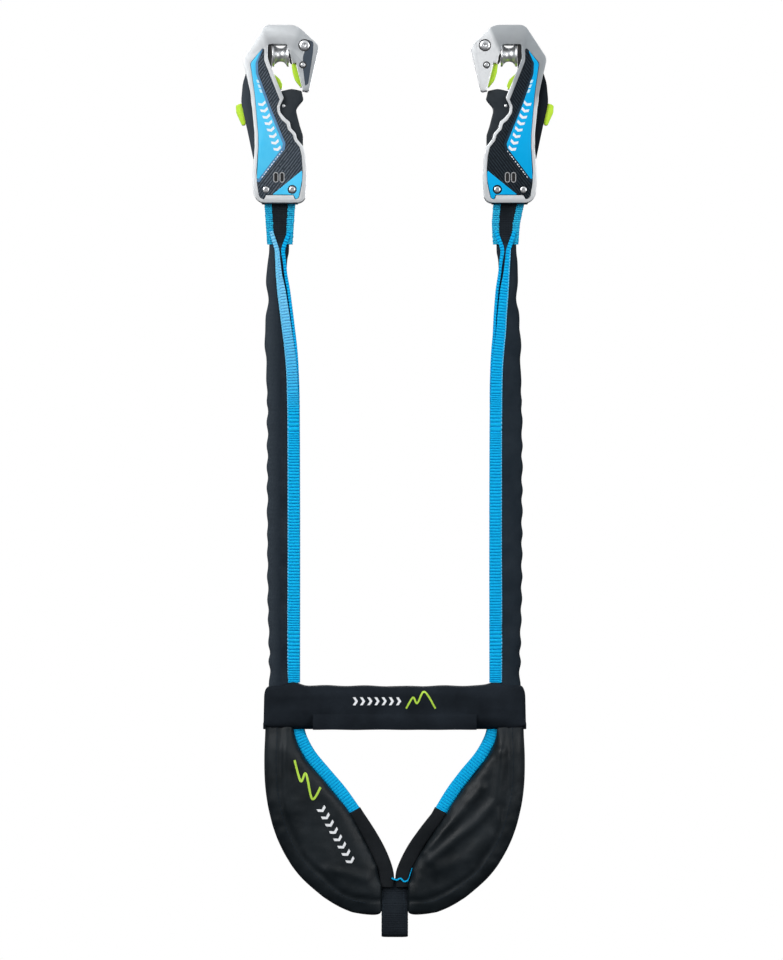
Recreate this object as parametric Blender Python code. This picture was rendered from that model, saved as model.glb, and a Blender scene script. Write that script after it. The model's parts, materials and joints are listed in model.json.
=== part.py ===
"""Via ferrata lanyard set, hanging from two steel cables.

Two mirrored palm-squeeze carabiners, each with a grooved cable roller, stand on two elastic
webbing arms. The arms run down into a cross band and a two-lobed energy-absorber pouch, whose
blue load tapes meet at a tie-in loop.

The origin is midway between the two cables that the rollers hang on. +X is to the right, +Z is
up, and the front faces -Y. Lengths below are in millimetres and become metres in add_mesh.
Outlines are lists of corners (x, z, fillet radius). A carabiner's own x is measured from its
cable's centre towards its nose, and left and right are made by the same functions.
"""

import math

import bmesh
import bpy
from mathutils import Matrix, Vector

MM = 0.001
GAP = 0.3

# Left and right
LEFT = 1
RIGHT = -1
SIDES = {"left": LEFT, "right": RIGHT}
HALF_SPACING = 109.2

# Carabiner frame
FRAME_HALF_DEPTH = 11.5
FRAME_EDGE = 0.8
FRAME_BOTTOM = -129.9
BEYOND = FRAME_HALF_DEPTH + 3
CHANNEL_HALF_DEPTH = 7.2
SLOT_LEFT = -19.2
SLOT_RIGHT = 17.0
SLOT_TOP = -104.0
SLOT_HALF_DEPTH = 8.5
COVER_THICKNESS = 1.8
COVER_SLOTS = {"outer": -4.6, "inner": 1.5}
COVER_SLOT_TOP = -101.6
COVER_SLOT_BOTTOM = -109.8
COVER_SLOT_HALF_WIDTH = 1.7
COVER_FLOOR = FRAME_HALF_DEPTH - COVER_THICKNESS - GAP
PANEL_THICKNESS = 0.9
PANEL_DEPTH = 0.8
PANEL_FLOOR = FRAME_HALF_DEPTH - PANEL_DEPTH

# Cable roller, whose axis runs along x
CABLE_RADIUS = 6.0
ROLLER_X = -0.4
ROLLER_Z = 12.4
ROLLER_HALF_WIDTH = 8.0
FLANGE_RADIUS = 11.4
ROLLER_PLAY = 0.8
GROOVE_FLOOR_RADIUS = 6.4
GROOVE_ARC_RADIUS = 6.2
AXLE_RADIUS = 2.5
AXLE_LEFT = -20.0
AXLE_RIGHT = 16.0

# Gate, palm lever, button and catch
GATE_PIVOT = (12.0, -91.0)
GATE_HALF_DEPTH = 6.2
GATE_KNUCKLE_RADIUS = 7.2
GATE_PIN_RADIUS = 2.2
GATE_RIVET = (3.4, -37.0)
GATE_RIVET_RADIUS = 1.2
LEVER_PIVOT = (-19.5, -93.0)
LEVER_HALF_DEPTH = 6.4
LEVER_KNUCKLE_RADIUS = 4.8
LEVER_PIN_RADIUS = 1.8
SPRING_SEAT_Y = 1.4
SPRING_SEAT_MARGIN = 4.0
SPRING_TURNS = 3
SPRING_STEPS = 10
BUTTON_HALF_DEPTH = 4.4
BUTTON_PLAY = 0.4
BUTTON_TOP = -33.4
BUTTON_BOTTOM = -57.0
BUTTON_STEM_X = -30.4
CATCH_HALF_DEPTH = 5.6
GUIDE_HALF_DEPTH = 7.5

# Pins, screws and the webbing bar
NOSE_PINS = {"large": (22.7, 21.0, 4.8), "small": (21.2, 2.1, 2.4)}
SCREWS = {"outer": (-14.2, -117.4), "inner": (10.9, -117.2)}
SCREW_HEAD_RADIUS = 3.5
SCREW_SHANK_RADIUS = 1.5
SCREW_DIMPLE_RADIUS = 1.3
SCREW_DIMPLE_DEPTH = 0.8
BAR_Z = -113.0
BAR_RADIUS = 3.5
BAR_LEFT = -22.5
BAR_RIGHT = 23.0
BAR_INSERTION = 10.0

# Soft parts
WEBBING = 2.2
LOOP_CENTRE = HALF_SPACING + 1.1
LOOP_BOTTOM = -170.0
LOOP_HALF_WIDTH = 14.9
LOOP_NARROWING = 3.0
ELASTIC_HALF_WIDTH = 6.0
ELASTIC_HALF_DEPTH = 1.2
BAND_HALF_WIDTH = 126.3
BAND_TOP = -591.5
BAND_BOTTOM = -634.7
BAND_HALF_DEPTH = 16.0
FLAP_HALF_WIDTH = 78.4
FLAP_TOP = -620.0
FLAP_THICKNESS = 2.0
POUCH_HALF_DEPTH = 17.0
POUCH_WALL = 3.0
ABSORBER_PLAY = 1.5
TAPE_HALF_DEPTH = 5.0
SLEEVE_HALF_DEPTH = TAPE_HALF_DEPTH + 1.2
TIE_LOOP_HALF_WIDTH = 13.0
TIE_LOOP_TOP = -781.6
TIE_LOOP_BOTTOM = -834.3
TIE_LOOP_HALF_DEPTH = 8.5

# Mesh fineness
ARC_STEP = math.radians(28)
ROLLER_SEGMENTS = 24
HOLE_SEGMENTS = 16
PIN_SEGMENTS = 12

FINISHES = {
    "silver": ((0.60, 0.62, 0.63), 0.32, 0.9),
    "steel": ((0.70, 0.71, 0.72), 0.18, 1.0),
    "black_metal": ((0.02, 0.024, 0.028), 0.45, 0.3),
    "black_plastic": ((0.025, 0.03, 0.035), 0.5, 0.0),
    "blue_plastic": ((0.03, 0.42, 0.80), 0.35, 0.0),
    "lime_plastic": ((0.48, 0.75, 0.03), 0.4, 0.0),
    "black_fabric": ((0.014, 0.018, 0.023), 0.85, 0.0),
    "blue_fabric": ((0.01, 0.35, 0.80), 0.8, 0.0),
}


def clear_scene():
    """Removes every object that the scene starts with."""
    for obj in list(bpy.data.objects):
        bpy.data.objects.remove(obj)


def add_to_carabiner(name, shape, finish, side, pivot=(0.0, 0.0, 0.0)):
    """Makes an object from a shape in the carabiner's own x."""
    return add_mesh(name, shape, finish, side, -HALF_SPACING, pivot)


def give_finish(obj, finish):
    """Gives the object a Principled material of its own."""
    colour, roughness, metallic = FINISHES[finish]
    material = bpy.data.materials.new(obj.name)
    material.use_nodes = True
    shader = material.node_tree.nodes["Principled BSDF"]
    shader.inputs["Base Color"].default_value = (*colour, 1.0)
    shader.inputs["Roughness"].default_value = roughness
    shader.inputs["Metallic"].default_value = metallic
    obj.data.materials.append(material)


def add_mesh(name, shape, finish=None, side=LEFT, shift=0.0, pivot=(0.0, 0.0, 0.0)):
    """Makes an object in metres from (points, faces) in millimetres.

    side mirrors it in x, shift moves it in x first, and pivot is where its origin goes. With no
    finish it is a cutter, which isn't drawn.
    """
    points, faces = shape
    origin = Vector((side * (pivot[0] + shift), pivot[1], pivot[2])) * MM
    placed = [Vector((side * (x + shift), y, z)) * MM - origin for x, y, z in points]
    mesh = bpy.data.meshes.new(name)
    mesh.from_pydata(placed, [], faces)
    work = bmesh.new()
    work.from_mesh(mesh)
    bmesh.ops.recalc_face_normals(work, faces=work.faces)
    work.to_mesh(mesh)
    work.free()
    obj = bpy.data.objects.new(name, mesh)
    obj.location = origin
    bpy.context.scene.collection.objects.link(obj)
    if finish is None:
        obj.hide_render = True
        obj.display_type = "WIRE"
    else:
        give_finish(obj, finish)
        mesh.shade_smooth()
        mesh.set_sharp_from_angle(angle=math.radians(30))
    return obj


def bevel(obj, width, segments=1):
    """Rounds the object's sharp edges."""
    modifier = obj.modifiers.new("edge_round", "BEVEL")
    modifier.width = width * MM
    modifier.segments = segments
    modifier.limit_method = "ANGLE"
    modifier.angle_limit = math.radians(40)


def cut(obj, *cutters):
    """Takes each cutter's volume out of the object."""
    for cutter in cutters:
        modifier = obj.modifiers.new(cutter.name, "BOOLEAN")
        modifier.operation = "DIFFERENCE"
        modifier.solver = "EXACT"
        modifier.object = cutter


def rounded(corners):
    """The outline through corners (x, z, radius), with an arc of that radius at each of them."""
    outline = []
    for i, (x, z, radius) in enumerate(corners):
        here = Vector((x, z))
        before = Vector(corners[i - 1][:2])
        after = Vector(corners[(i + 1) % len(corners)][:2])
        into = (before - here).normalized()
        out = (after - here).normalized()
        turn = math.pi - into.angle(out)
        if radius <= 0 or turn < ARC_STEP / 2:
            outline.append((x, z))
            continue
        reach = radius * math.tan(turn / 2)
        steps = round(turn / ARC_STEP)
        centre = here + (into + out).normalized() * (radius / math.cos(turn / 2))
        start = here + into * reach - centre
        sign = 1 if into.x * out.y - into.y * out.x < 0 else -1
        for k in range(steps + 1):
            angle = sign * turn * k / steps
            spun = Matrix.Rotation(angle, 2) @ start
            outline.append((centre.x + spun.x, centre.y + spun.y))
    return outline


def arc(centre, radius, start, end):
    """Corners along the arc round centre, from angle start to angle end in degrees."""
    steps = max(1, round(math.radians(abs(end - start)) / ARC_STEP))
    angles = [math.radians(start + (end - start) * k / steps) for k in range(steps + 1)]
    return [(centre[0] + radius * math.cos(a), centre[1] + radius * math.sin(a), 0) for a in angles]


def inset(outline, distance):
    """The outline, which runs clockwise, with every edge moved inwards by distance."""
    moved = []
    for i, (x, z) in enumerate(outline):
        here = Vector((x, z))
        along = (here - Vector(outline[i - 1])).normalized()
        onward = (Vector(outline[(i + 1) % len(outline)]) - here).normalized()
        bisector = (Vector((along.y, -along.x)) + Vector((onward.y, -onward.x))).normalized()
        spot = here + bisector * (distance / max(0.3, bisector.dot(Vector((along.y, -along.x)))))
        moved.append((spot.x, spot.y))
    return moved


def prism(outline, front, back):
    """The outline in x and z, carried along y from front to back."""
    count = len(outline)
    points = [(x, front, z) for x, z in outline] + [(x, back, z) for x, z in outline]
    faces = [tuple(range(count)), tuple(range(2 * count - 1, count - 1, -1))]
    for i in range(count):
        after = (i + 1) % count
        faces.append((i, count + i, count + after, after))
    return points, faces


def block(low, high):
    """A box from its lowest corner to its highest."""
    outline = [(low[0], low[2]), (high[0], low[2]), (high[0], high[2]), (low[0], high[2])]
    return prism(outline, low[1], high[1])


def turned(profile, centre, along, segments, ring=False):
    """A profile of (distance along the axis, radius), turned round the axis through centre.

    along is "x" or "y". A ring's profile closes on itself and leaves the axis open.
    """
    points = []
    for reach, radius in profile:
        for k in range(segments):
            angle = 2 * math.pi * (k + 0.5) / segments
            across = radius * math.cos(angle)
            up = radius * math.sin(angle)
            offset = (reach, across, up) if along == "x" else (across, reach, up)
            points.append(tuple(c + d for c, d in zip(centre, offset)))
    rows = len(profile)
    faces = []
    for row in range(rows if ring else rows - 1):
        below = (row + 1) % rows
        for k in range(segments):
            after = (k + 1) % segments
            faces.append(
                (
                    row * segments + k,
                    row * segments + after,
                    below * segments + after,
                    below * segments + k,
                )
            )
    if not ring:
        faces.append(tuple(range(segments)))
        faces.append(tuple(range((rows - 1) * segments, rows * segments)))
    return points, faces


def cylinder(centre, along, half_length, radius, chamfer=0.0, segments=PIN_SEGMENTS):
    """A plain shaft, with its two end edges chamfered."""
    profile = [(-half_length, radius), (half_length, radius)]
    if chamfer:
        shoulder = half_length - chamfer
        narrow = radius - chamfer
        profile = [
            (-half_length, narrow),
            (-shoulder, radius),
            (shoulder, radius),
            (half_length, narrow),
        ]
    return turned(profile, centre, along, segments)


def loft(sections, holes=None):
    """A body through cross-sections of equally many points, hollow where holes are given."""
    count = len(sections[0])
    rows = len(sections)
    points = [point for section in sections for point in section]
    faces = wall_faces(0, rows, count)
    if holes is None:
        faces.append(tuple(range(count)))
        faces.append(tuple(range((rows - 1) * count, rows * count)))
        return points, faces
    start = len(points)
    points += [point for section in holes for point in section]
    faces += wall_faces(start, rows, count)
    for row in (0, rows - 1):
        for k in range(count):
            after = (k + 1) % count
            outer = row * count
            inner = start + row * count
            faces.append((outer + k, outer + after, inner + after, inner + k))
    return points, faces


def wall_faces(start, rows, count):
    """The quads between neighbouring rows of count points each."""
    faces = []
    for row in range(rows - 1):
        for k in range(count):
            after = (k + 1) % count
            low = start + row * count
            faces.append((low + k, low + after, low + count + after, low + count + k))
    return faces


def capsule_section(left, right, half_depth, z):
    """Eight points of a flat cross-section with bevelled ends, at height z."""
    slope = min(half_depth, (right - left) / 2) * 0.5
    return [
        (left, -half_depth + slope, z),
        (left + slope, -half_depth, z),
        (right - slope, -half_depth, z),
        (right, -half_depth + slope, z),
        (right, half_depth - slope, z),
        (right - slope, half_depth, z),
        (left + slope, half_depth, z),
        (left, half_depth - slope, z),
    ]


def strap_ring(outer, inner, half_width_at):
    """A closed strap between outer and inner loops of (y, z), half_width_at(z) to either side."""
    count = len(outer)
    points = []
    for loop in (outer, inner):
        for sign in (LEFT, RIGHT):
            points += [(sign * half_width_at(z), y, z) for y, z in loop]
    faces = []
    for k in range(count):
        after = (k + 1) % count
        for first, second in ((0, 1), (1, 3), (3, 2), (2, 0)):
            faces.append(
                (
                    first * count + k,
                    first * count + after,
                    second * count + after,
                    second * count + k,
                )
            )
    return points, faces


# The carabiner's outlines, in its own x and z


def frame_outline():
    """The forged body: arch, nose, throat, the wavy edge beside the gate, base and spine."""
    nose = [
        (-15.5, 40.7, 9),
        (15.0, 40.6, 16),
        (36.8, 20.5, 7),
        (26.6, -23.4, 2.5),
        (20.4, -22.3, 0.6),
        (20.6, -19.5, 2),
        (14.8, 3.9, 0.5),
        (11.6, 4.0, 0.6),
        (5.6, 22.0, 2),
    ]
    throat = [(-12.2, 22.0, 2), (-12.6, 8.0, 8)]
    wave = [
        (2.9, -29.5, 3.5),
        (-1.2, -40.0, 9),
        (7.6, -54.0, 12),
        (13.2, -61.8, 8),
        (17.4, -71.2, 8),
        (22.8, -80.5, 10),
        (24.9, -104.0, 40),
    ]
    base = [(23.4, FRAME_BOTTOM, 8), (-25.6, FRAME_BOTTOM, 11)]
    spine = [(-27.2, -106.0, 50), (-24.2, -70.0, 80), (-28.3, -26.0, 60), (-36.7, 8.5, 9)]
    return rounded(nose + throat + wave + base + spine)


def cover_outline():
    """The inlay that fills the front or the back, inside a narrow rim."""
    return rounded(
        [
            (-15.6, 20.6, 1.5),
            (-15.9, 6.6, 8),
            (-0.9, -31.0, 2.5),
            (-4.6, -39.4, 8),
            (4.6, -54.8, 12),
            (10.4, -63.2, 8),
            (14.6, -72.6, 8),
            (19.8, -81.5, 10),
            (21.6, -106.0, 40),
            (17.4, -126.4, 4),
            (13.4, -126.8, 1),
            (11.8, -122.8, 1),
            (-14.0, -122.8, 1),
            (-16.0, -126.8, 1),
            (-20.6, -125.6, 5),
            (-23.8, -106.0, 50),
            (-21.4, -70.0, 80),
            (-25.3, -26.0, 60),
            (-29.6, 4.0, 5),
        ]
    )


def panel_outline():
    """The long blue panel that follows the spine and narrows to a point at both ends."""
    return rounded(
        [
            (-17.0, 17.0, 0.6),
            (-23.2, 4.5, 6),
            (-22.6, -6.0, 10),
            (-9.4, -39.5, 40),
            (3.6, -74.0, 4),
            (2.4, -80.5, 4),
            (-18.6, -108.4, 1.5),
            (-21.6, -108.4, 1),
            (-20.6, -52.0, 60),
            (-24.4, -24.0, 40),
            (-28.0, 3.4, 4),
        ]
    )


def gate_outline():
    """The scalloped gate, from its flat top to the knuckle round its pin."""
    blade = [
        (0.2, -22.6, 1.0),
        (10.4, -20.2, 12.0),
        (19.8, -22.4, 1.0),
        (21.8, -30.6, 3.0),
        (14.2, -40.0, 7.0),
        (18.4, -56.5, 12.0),
        (21.2, -65.0, 8.0),
        (21.2, -80.0, 8.0),
    ]
    knuckle = arc(GATE_PIVOT, GATE_KNUCKLE_RADIUS, 0, -180)
    return rounded(blade + knuckle + [(0.4, -58.0, 20.0)])


def lever_outline():
    """The palm lever: thin at the top, full where the palm bears, and a knuckle at the bottom."""
    palm = [
        (-33.4, -5.0, 0.7),
        (-31.8, -4.8, 0.7),
        (-30.4, -34.0, 30.0),
        (-24.6, -62.0, 30.0),
        (-17.6, -84.0, 10.0),
    ]
    knuckle = arc(LEVER_PIVOT, LEVER_KNUCKLE_RADIUS, 0, -180)
    outer = [(-26.4, -88.0, 20.0), (-31.4, -64.0, 40.0), (-38.2, -33.0, 22.0), (-36.6, -15.0, 20.0)]
    return rounded(palm + knuckle + outer)


def button_outline():
    """The thumb button: a rounded tab outside the lever and a stem inside it."""
    return rounded(
        [
            (-33.6, -36.5, 0.5),
            (-38.4, -34.4, 1.0),
            (-43.4, -36.0, 2.5),
            (-42.9, -43.5, 6.0),
            (-37.4, -55.6, 2.0),
            (-34.4, -55.0, 1.0),
            (-33.0, -50.0, 0.5),
        ]
    )


def catch_outline():
    """The catch: a rounded tooth in the throat on a block that slides back into the spine."""
    return rounded(
        [
            (-13.0, -7.5, 0.6),
            (-7.6, -5.2, 1.0),
            (-1.0, -11.0, 6.0),
            (1.6, -16.5, 4.0),
            (0.7, -20.6, 0.6),
            (-5.0, -21.6, 0.6),
            (-13.0, -18.0, 0.6),
        ]
    )


def guide_outline():
    """The wear strip let into the inner side of the nose."""
    return rounded(
        [
            (10.2, 3.5, 0.8),
            (14.3, 3.5, 0.4),
            (20.1, -18.8, 0.6),
            (18.6, -18.6, 1.0),
            (13.4, -12.0, 6.0),
            (11.2, -5.0, 8.0),
        ]
    )


# The carabiner's pieces


def channel_cutter(name, side):
    """The hollow of the spine, which opens to the throat, to the gate and to the lever."""
    outline = [
        (-50, -2),
        (-3, -2),
        (8, -16),
        (16, -23.5),
        (50, -23.7),
        (50, -99.5),
        (-50, -99.5),
    ]
    shape = prism(outline, -CHANNEL_HALF_DEPTH, CHANNEL_HALF_DEPTH)
    return add_to_carabiner(f"{name}_cut_channel", shape, None, side)


def frame_cutters(name, side):
    """Everything that is cut out of the forged body."""

    def cutter(label, shape):
        return add_to_carabiner(f"{name}_cut_{label}", shape, None, side)

    cutters = [channel_cutter(name, side)]
    slot = block(
        (SLOT_LEFT, -SLOT_HALF_DEPTH, FRAME_BOTTOM - 5), (SLOT_RIGHT, SLOT_HALF_DEPTH, SLOT_TOP)
    )
    cutters.append(cutter("webbing_slot", slot))
    cutters.append(cutter("front_pocket", prism(cover_outline(), -BEYOND, -COVER_FLOOR)))
    cutters.append(cutter("back_pocket", prism(cover_outline(), COVER_FLOOR, BEYOND)))
    reach = ROLLER_HALF_WIDTH + ROLLER_PLAY
    radius = FLANGE_RADIUS + ROLLER_PLAY
    roller_room = cylinder((ROLLER_X, 0, ROLLER_Z), "x", reach, radius, 0, ROLLER_SEGMENTS)
    cutters.append(cutter("roller_room", roller_room))
    axle_middle = (AXLE_LEFT + AXLE_RIGHT) / 2
    axle_reach = (AXLE_RIGHT - AXLE_LEFT) / 2 + GAP
    axle_hole = cylinder((axle_middle, 0, ROLLER_Z), "x", axle_reach, AXLE_RADIUS + GAP)
    cutters.append(cutter("axle_hole", axle_hole))
    bar_middle = (BAR_LEFT - GAP + BAR_RIGHT + BAR_INSERTION) / 2
    bar_reach = (BAR_RIGHT + BAR_INSERTION - BAR_LEFT + GAP) / 2
    bar_hole = cylinder((bar_middle, 0, BAR_Z), "x", bar_reach, BAR_RADIUS + GAP)
    cutters.append(cutter("bar_hole", bar_hole))
    for label, (x, z, radius) in NOSE_PINS.items():
        hole = cylinder((x, 0, z), "y", BEYOND, radius + GAP, 0, HOLE_SEGMENTS)
        cutters.append(cutter(f"nose_pin_{label}", hole))
    for label, (x, z), radius in (
        ("gate_pin", GATE_PIVOT, GATE_PIN_RADIUS),
        ("lever_pin", LEVER_PIVOT, LEVER_PIN_RADIUS),
    ):
        cutters.append(cutter(label, cylinder((x, 0, z), "y", BEYOND, radius + GAP)))
    for label, (x, z) in SCREWS.items():
        hole = cylinder((x, -COVER_FLOOR, z), "y", 2.0, SCREW_SHANK_RADIUS + GAP)
        cutters.append(cutter(f"screw_{label}", hole))
    return cutters


def make_frame(name, side):
    """The forged aluminium body."""
    shape = prism(frame_outline(), -FRAME_HALF_DEPTH, FRAME_HALF_DEPTH)
    frame = add_to_carabiner(f"{name}_frame", shape, "silver", side)
    bevel(frame, FRAME_EDGE)
    cut(frame, *frame_cutters(name, side))


def cover_slot_outline(middle):
    """A narrow upright slot with round corners."""
    corner = COVER_SLOT_HALF_WIDTH - 0.1
    left = middle - COVER_SLOT_HALF_WIDTH
    right = middle + COVER_SLOT_HALF_WIDTH
    return rounded(
        [
            (left, COVER_SLOT_TOP, corner),
            (right, COVER_SLOT_TOP, corner),
            (right, COVER_SLOT_BOTTOM, corner),
            (left, COVER_SLOT_BOTTOM, corner),
        ]
    )


def cover_cutters(name, side):
    """The screws' counterbores, the two slots and the blue panel's pocket."""

    def cutter(label, shape):
        return add_to_carabiner(f"{name}_cut_{label}", shape, None, side)

    cutters = [cutter("panel", prism(panel_outline(), -BEYOND, -PANEL_FLOOR))]
    for label, (x, z) in SCREWS.items():
        head_hole = cylinder((x, -BEYOND, z), "y", BEYOND - CHANNEL_HALF_DEPTH, SCREW_HEAD_RADIUS + GAP)
        cutters.append(cutter(f"head_{label}", head_hole))
    for label, x in COVER_SLOTS.items():
        slot = prism(cover_slot_outline(x), -BEYOND, -CHANNEL_HALF_DEPTH)
        cutters.append(cutter(f"slot_{label}", slot))
    return cutters


def make_covers(name, side):
    """The front and back inlays, and the blue panel let into the front one."""
    inside = FRAME_HALF_DEPTH - COVER_THICKNESS
    outline = inset(cover_outline(), GAP)
    front = prism(outline, -FRAME_HALF_DEPTH, -inside)
    front_cover = add_to_carabiner(f"{name}_front_cover", front, "black_plastic", side)
    cut(front_cover, *cover_cutters(name, side))
    back = prism(outline, inside, FRAME_HALF_DEPTH)
    add_to_carabiner(f"{name}_back_cover", back, "black_plastic", side)
    under = -PANEL_FLOOR - GAP
    panel = prism(inset(panel_outline(), GAP), under - PANEL_THICKNESS, under)
    add_to_carabiner(f"{name}_blue_panel", panel, "blue_plastic", side)


def spring_seat(pivot, knuckle_radius):
    """The back half of a knuckle, which is cut away to make room for its spring."""
    half_length = 5.0
    middle = (pivot[0], SPRING_SEAT_Y + half_length, pivot[2])
    return cylinder(middle, "y", half_length, knuckle_radius + SPRING_SEAT_MARGIN)


def make_gate(name, side):
    """The gate with its pin, its spring and the small rivet near its top."""
    x, z = GATE_PIVOT
    pivot = (x, 0.0, z)
    shape = prism(gate_outline(), -GATE_HALF_DEPTH, GATE_HALF_DEPTH)
    gate = add_to_carabiner(f"{name}_gate", shape, "black_metal", side, pivot)
    bevel(gate, 0.8)
    rivet_centre = (GATE_RIVET[0], 0.0, GATE_RIVET[1])
    bore = cylinder(pivot, "y", BEYOND, GATE_PIN_RADIUS + GAP)
    seat = spring_seat(pivot, GATE_KNUCKLE_RADIUS)
    rivet_hole = cylinder(rivet_centre, "y", BEYOND, GATE_RIVET_RADIUS + GAP)
    cut(
        gate,
        add_to_carabiner(f"{name}_cut_gate_bore", bore, None, side),
        add_to_carabiner(f"{name}_cut_gate_seat", seat, None, side),
        add_to_carabiner(f"{name}_cut_gate_rivet", rivet_hole, None, side),
    )
    rivet = cylinder(rivet_centre, "y", GATE_HALF_DEPTH + 0.4, GATE_RIVET_RADIUS, 0.2)
    add_to_carabiner(f"{name}_gate_rivet", rivet, "steel", side, pivot)
    pin = cylinder(pivot, "y", COVER_FLOOR - GAP, GATE_PIN_RADIUS, 0.3)
    add_to_carabiner(f"{name}_gate_pin", pin, "steel", side)
    make_spring(f"{name}_gate_spring", side, pivot, 4.2, 0.6)


def make_lever(name, side):
    """The palm lever with its pin, its spring and the thumb button."""
    x, z = LEVER_PIVOT
    pivot = (x, 0.0, z)
    shape = prism(lever_outline(), -LEVER_HALF_DEPTH, LEVER_HALF_DEPTH)
    lever = add_to_carabiner(f"{name}_palm_lever", shape, "black_plastic", side, pivot)
    bevel(lever, 0.5)
    bore = cylinder(pivot, "y", BEYOND, LEVER_PIN_RADIUS + GAP)
    seat = spring_seat(pivot, LEVER_KNUCKLE_RADIUS)
    room = BUTTON_HALF_DEPTH + BUTTON_PLAY
    pocket = block((-60, -room, BUTTON_BOTTOM), (BUTTON_STEM_X, room, BUTTON_TOP))
    cut(
        lever,
        add_to_carabiner(f"{name}_cut_lever_bore", bore, None, side),
        add_to_carabiner(f"{name}_cut_lever_seat", seat, None, side),
        add_to_carabiner(f"{name}_cut_button_pocket", pocket, None, side),
    )
    shape = prism(button_outline(), -BUTTON_HALF_DEPTH, BUTTON_HALF_DEPTH)
    button = add_to_carabiner(f"{name}_release_button", shape, "lime_plastic", side)
    bevel(button, 0.6)
    pin = cylinder(pivot, "y", COVER_FLOOR - GAP, LEVER_PIN_RADIUS, 0.3)
    add_to_carabiner(f"{name}_lever_pin", pin, "steel", side)
    make_spring(f"{name}_lever_spring", side, pivot, 3.3, 0.5)


def make_spring(name, side, pivot, radius, wire_radius):
    """A torsion spring: turns of wire round a pin, beside the knuckle."""
    steps = SPRING_TURNS * SPRING_STEPS
    start = SPRING_SEAT_Y + wire_radius + 2 * GAP
    length = CHANNEL_HALF_DEPTH - wire_radius - GAP - start
    curve = bpy.data.curves.new(name, "CURVE")
    curve.dimensions = "3D"
    curve.bevel_depth = wire_radius * MM
    curve.bevel_resolution = 0
    curve.use_fill_caps = True
    spline = curve.splines.new("POLY")
    spline.points.add(steps)
    for k in range(steps + 1):
        angle = 2 * math.pi * k / SPRING_STEPS
        x = side * (pivot[0] + radius * math.cos(angle) - HALF_SPACING)
        y = start + length * k / steps
        z = pivot[2] + radius * math.sin(angle)
        spline.points[k].co = (x * MM, y * MM, z * MM, 1.0)
    spring = bpy.data.objects.new(name, curve)
    bpy.context.scene.collection.objects.link(spring)
    give_finish(spring, "steel")


def make_throat(name, side):
    """The catch and the wear strip that face each other across the throat."""
    shape = prism(catch_outline(), -CATCH_HALF_DEPTH, CATCH_HALF_DEPTH)
    catch = add_to_carabiner(f"{name}_lock_catch", shape, "lime_plastic", side)
    bevel(catch, 0.5)
    shape = prism(guide_outline(), -GUIDE_HALF_DEPTH, GUIDE_HALF_DEPTH)
    guide = add_to_carabiner(f"{name}_nose_guide", shape, "lime_plastic", side)
    bevel(guide, 0.4)


def groove_profile():
    """The roller's section: bore, ends, flanges and a groove that fits the cable."""
    flat = 0.8
    bore = AXLE_RADIUS + GAP
    end = ROLLER_HALF_WIDTH
    profile = [(-end, bore), (-end, FLANGE_RADIUS - flat), (-end + flat, FLANGE_RADIUS)]
    steps = 6
    widest = math.asin(CABLE_RADIUS / GROOVE_ARC_RADIUS)
    for k in range(steps + 1):
        angle = widest * (2 * k / steps - 1)
        radius = GROOVE_FLOOR_RADIUS + GROOVE_ARC_RADIUS * (1 - math.cos(angle))
        profile.append((GROOVE_ARC_RADIUS * math.sin(angle), radius))
    profile += [(end - flat, FLANGE_RADIUS), (end, FLANGE_RADIUS - flat), (end, bore)]
    return profile


def make_roller(name, side):
    """The cable roller on its axle."""
    centre = (ROLLER_X, 0.0, ROLLER_Z)
    shape = turned(groove_profile(), centre, "x", ROLLER_SEGMENTS, ring=True)
    add_to_carabiner(f"{name}_cable_roller", shape, "steel", side, centre)
    middle = (AXLE_LEFT + AXLE_RIGHT) / 2
    reach = (AXLE_RIGHT - AXLE_LEFT) / 2
    axle = cylinder((middle, 0, ROLLER_Z), "x", reach, AXLE_RADIUS, 0.4)
    add_to_carabiner(f"{name}_roller_axle", axle, "steel", side)


def screw_profile():
    """The cover screw's section from its dimpled head down to the end of its shank."""
    top = -FRAME_HALF_DEPTH - 0.2
    under = -COVER_FLOOR - GAP
    chamfer = 0.4
    return [
        (top + SCREW_DIMPLE_DEPTH, SCREW_DIMPLE_RADIUS),
        (top, SCREW_DIMPLE_RADIUS),
        (top, SCREW_HEAD_RADIUS - chamfer),
        (top + chamfer, SCREW_HEAD_RADIUS),
        (under, SCREW_HEAD_RADIUS),
        (under, SCREW_SHANK_RADIUS),
        (-SLOT_HALF_DEPTH - GAP / 2, SCREW_SHANK_RADIUS),
    ]


def make_fasteners(name, side):
    """The two nose pins, the two cover screws and the bar that the webbing goes round."""
    for label, (x, z, radius) in NOSE_PINS.items():
        pin = cylinder((x, 0, z), "y", FRAME_HALF_DEPTH + 0.3, radius, 0.5, HOLE_SEGMENTS)
        add_to_carabiner(f"{name}_nose_pin_{label}", pin, "steel", side)
    for label, (x, z) in SCREWS.items():
        screw = turned(screw_profile(), (x, 0, z), "y", PIN_SEGMENTS)
        add_to_carabiner(f"{name}_cover_screw_{label}", screw, "steel", side)
    middle = (BAR_LEFT + BAR_RIGHT) / 2
    reach = (BAR_RIGHT - BAR_LEFT) / 2
    bar = cylinder((middle, 0, BAR_Z), "x", reach, BAR_RADIUS, 0.4)
    add_to_carabiner(f"{name}_webbing_bar", bar, "steel", side)


def make_carabiner(name, side):
    """One whole carabiner."""
    make_frame(name, side)
    make_covers(name, side)
    make_gate(name, side)
    make_lever(name, side)
    make_throat(name, side)
    make_roller(name, side)
    make_fasteners(name, side)


# The soft parts. The left one's x is negative, and side mirrors it.


def bar_loop(top_radius, stem_half, stem_top, bottom):
    """One side of the strap round the bar: an arc over the bar that narrows to a stem."""
    steps = 8
    bend = []
    for k in range(steps + 1):
        angle = math.pi * k / steps
        bend.append((-top_radius * math.cos(angle), BAR_Z + top_radius * math.sin(angle)))
    right = [(stem_half, stem_top), (stem_half, bottom)]
    return bend + right + [(-y, z) for y, z in reversed(right)]


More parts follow.
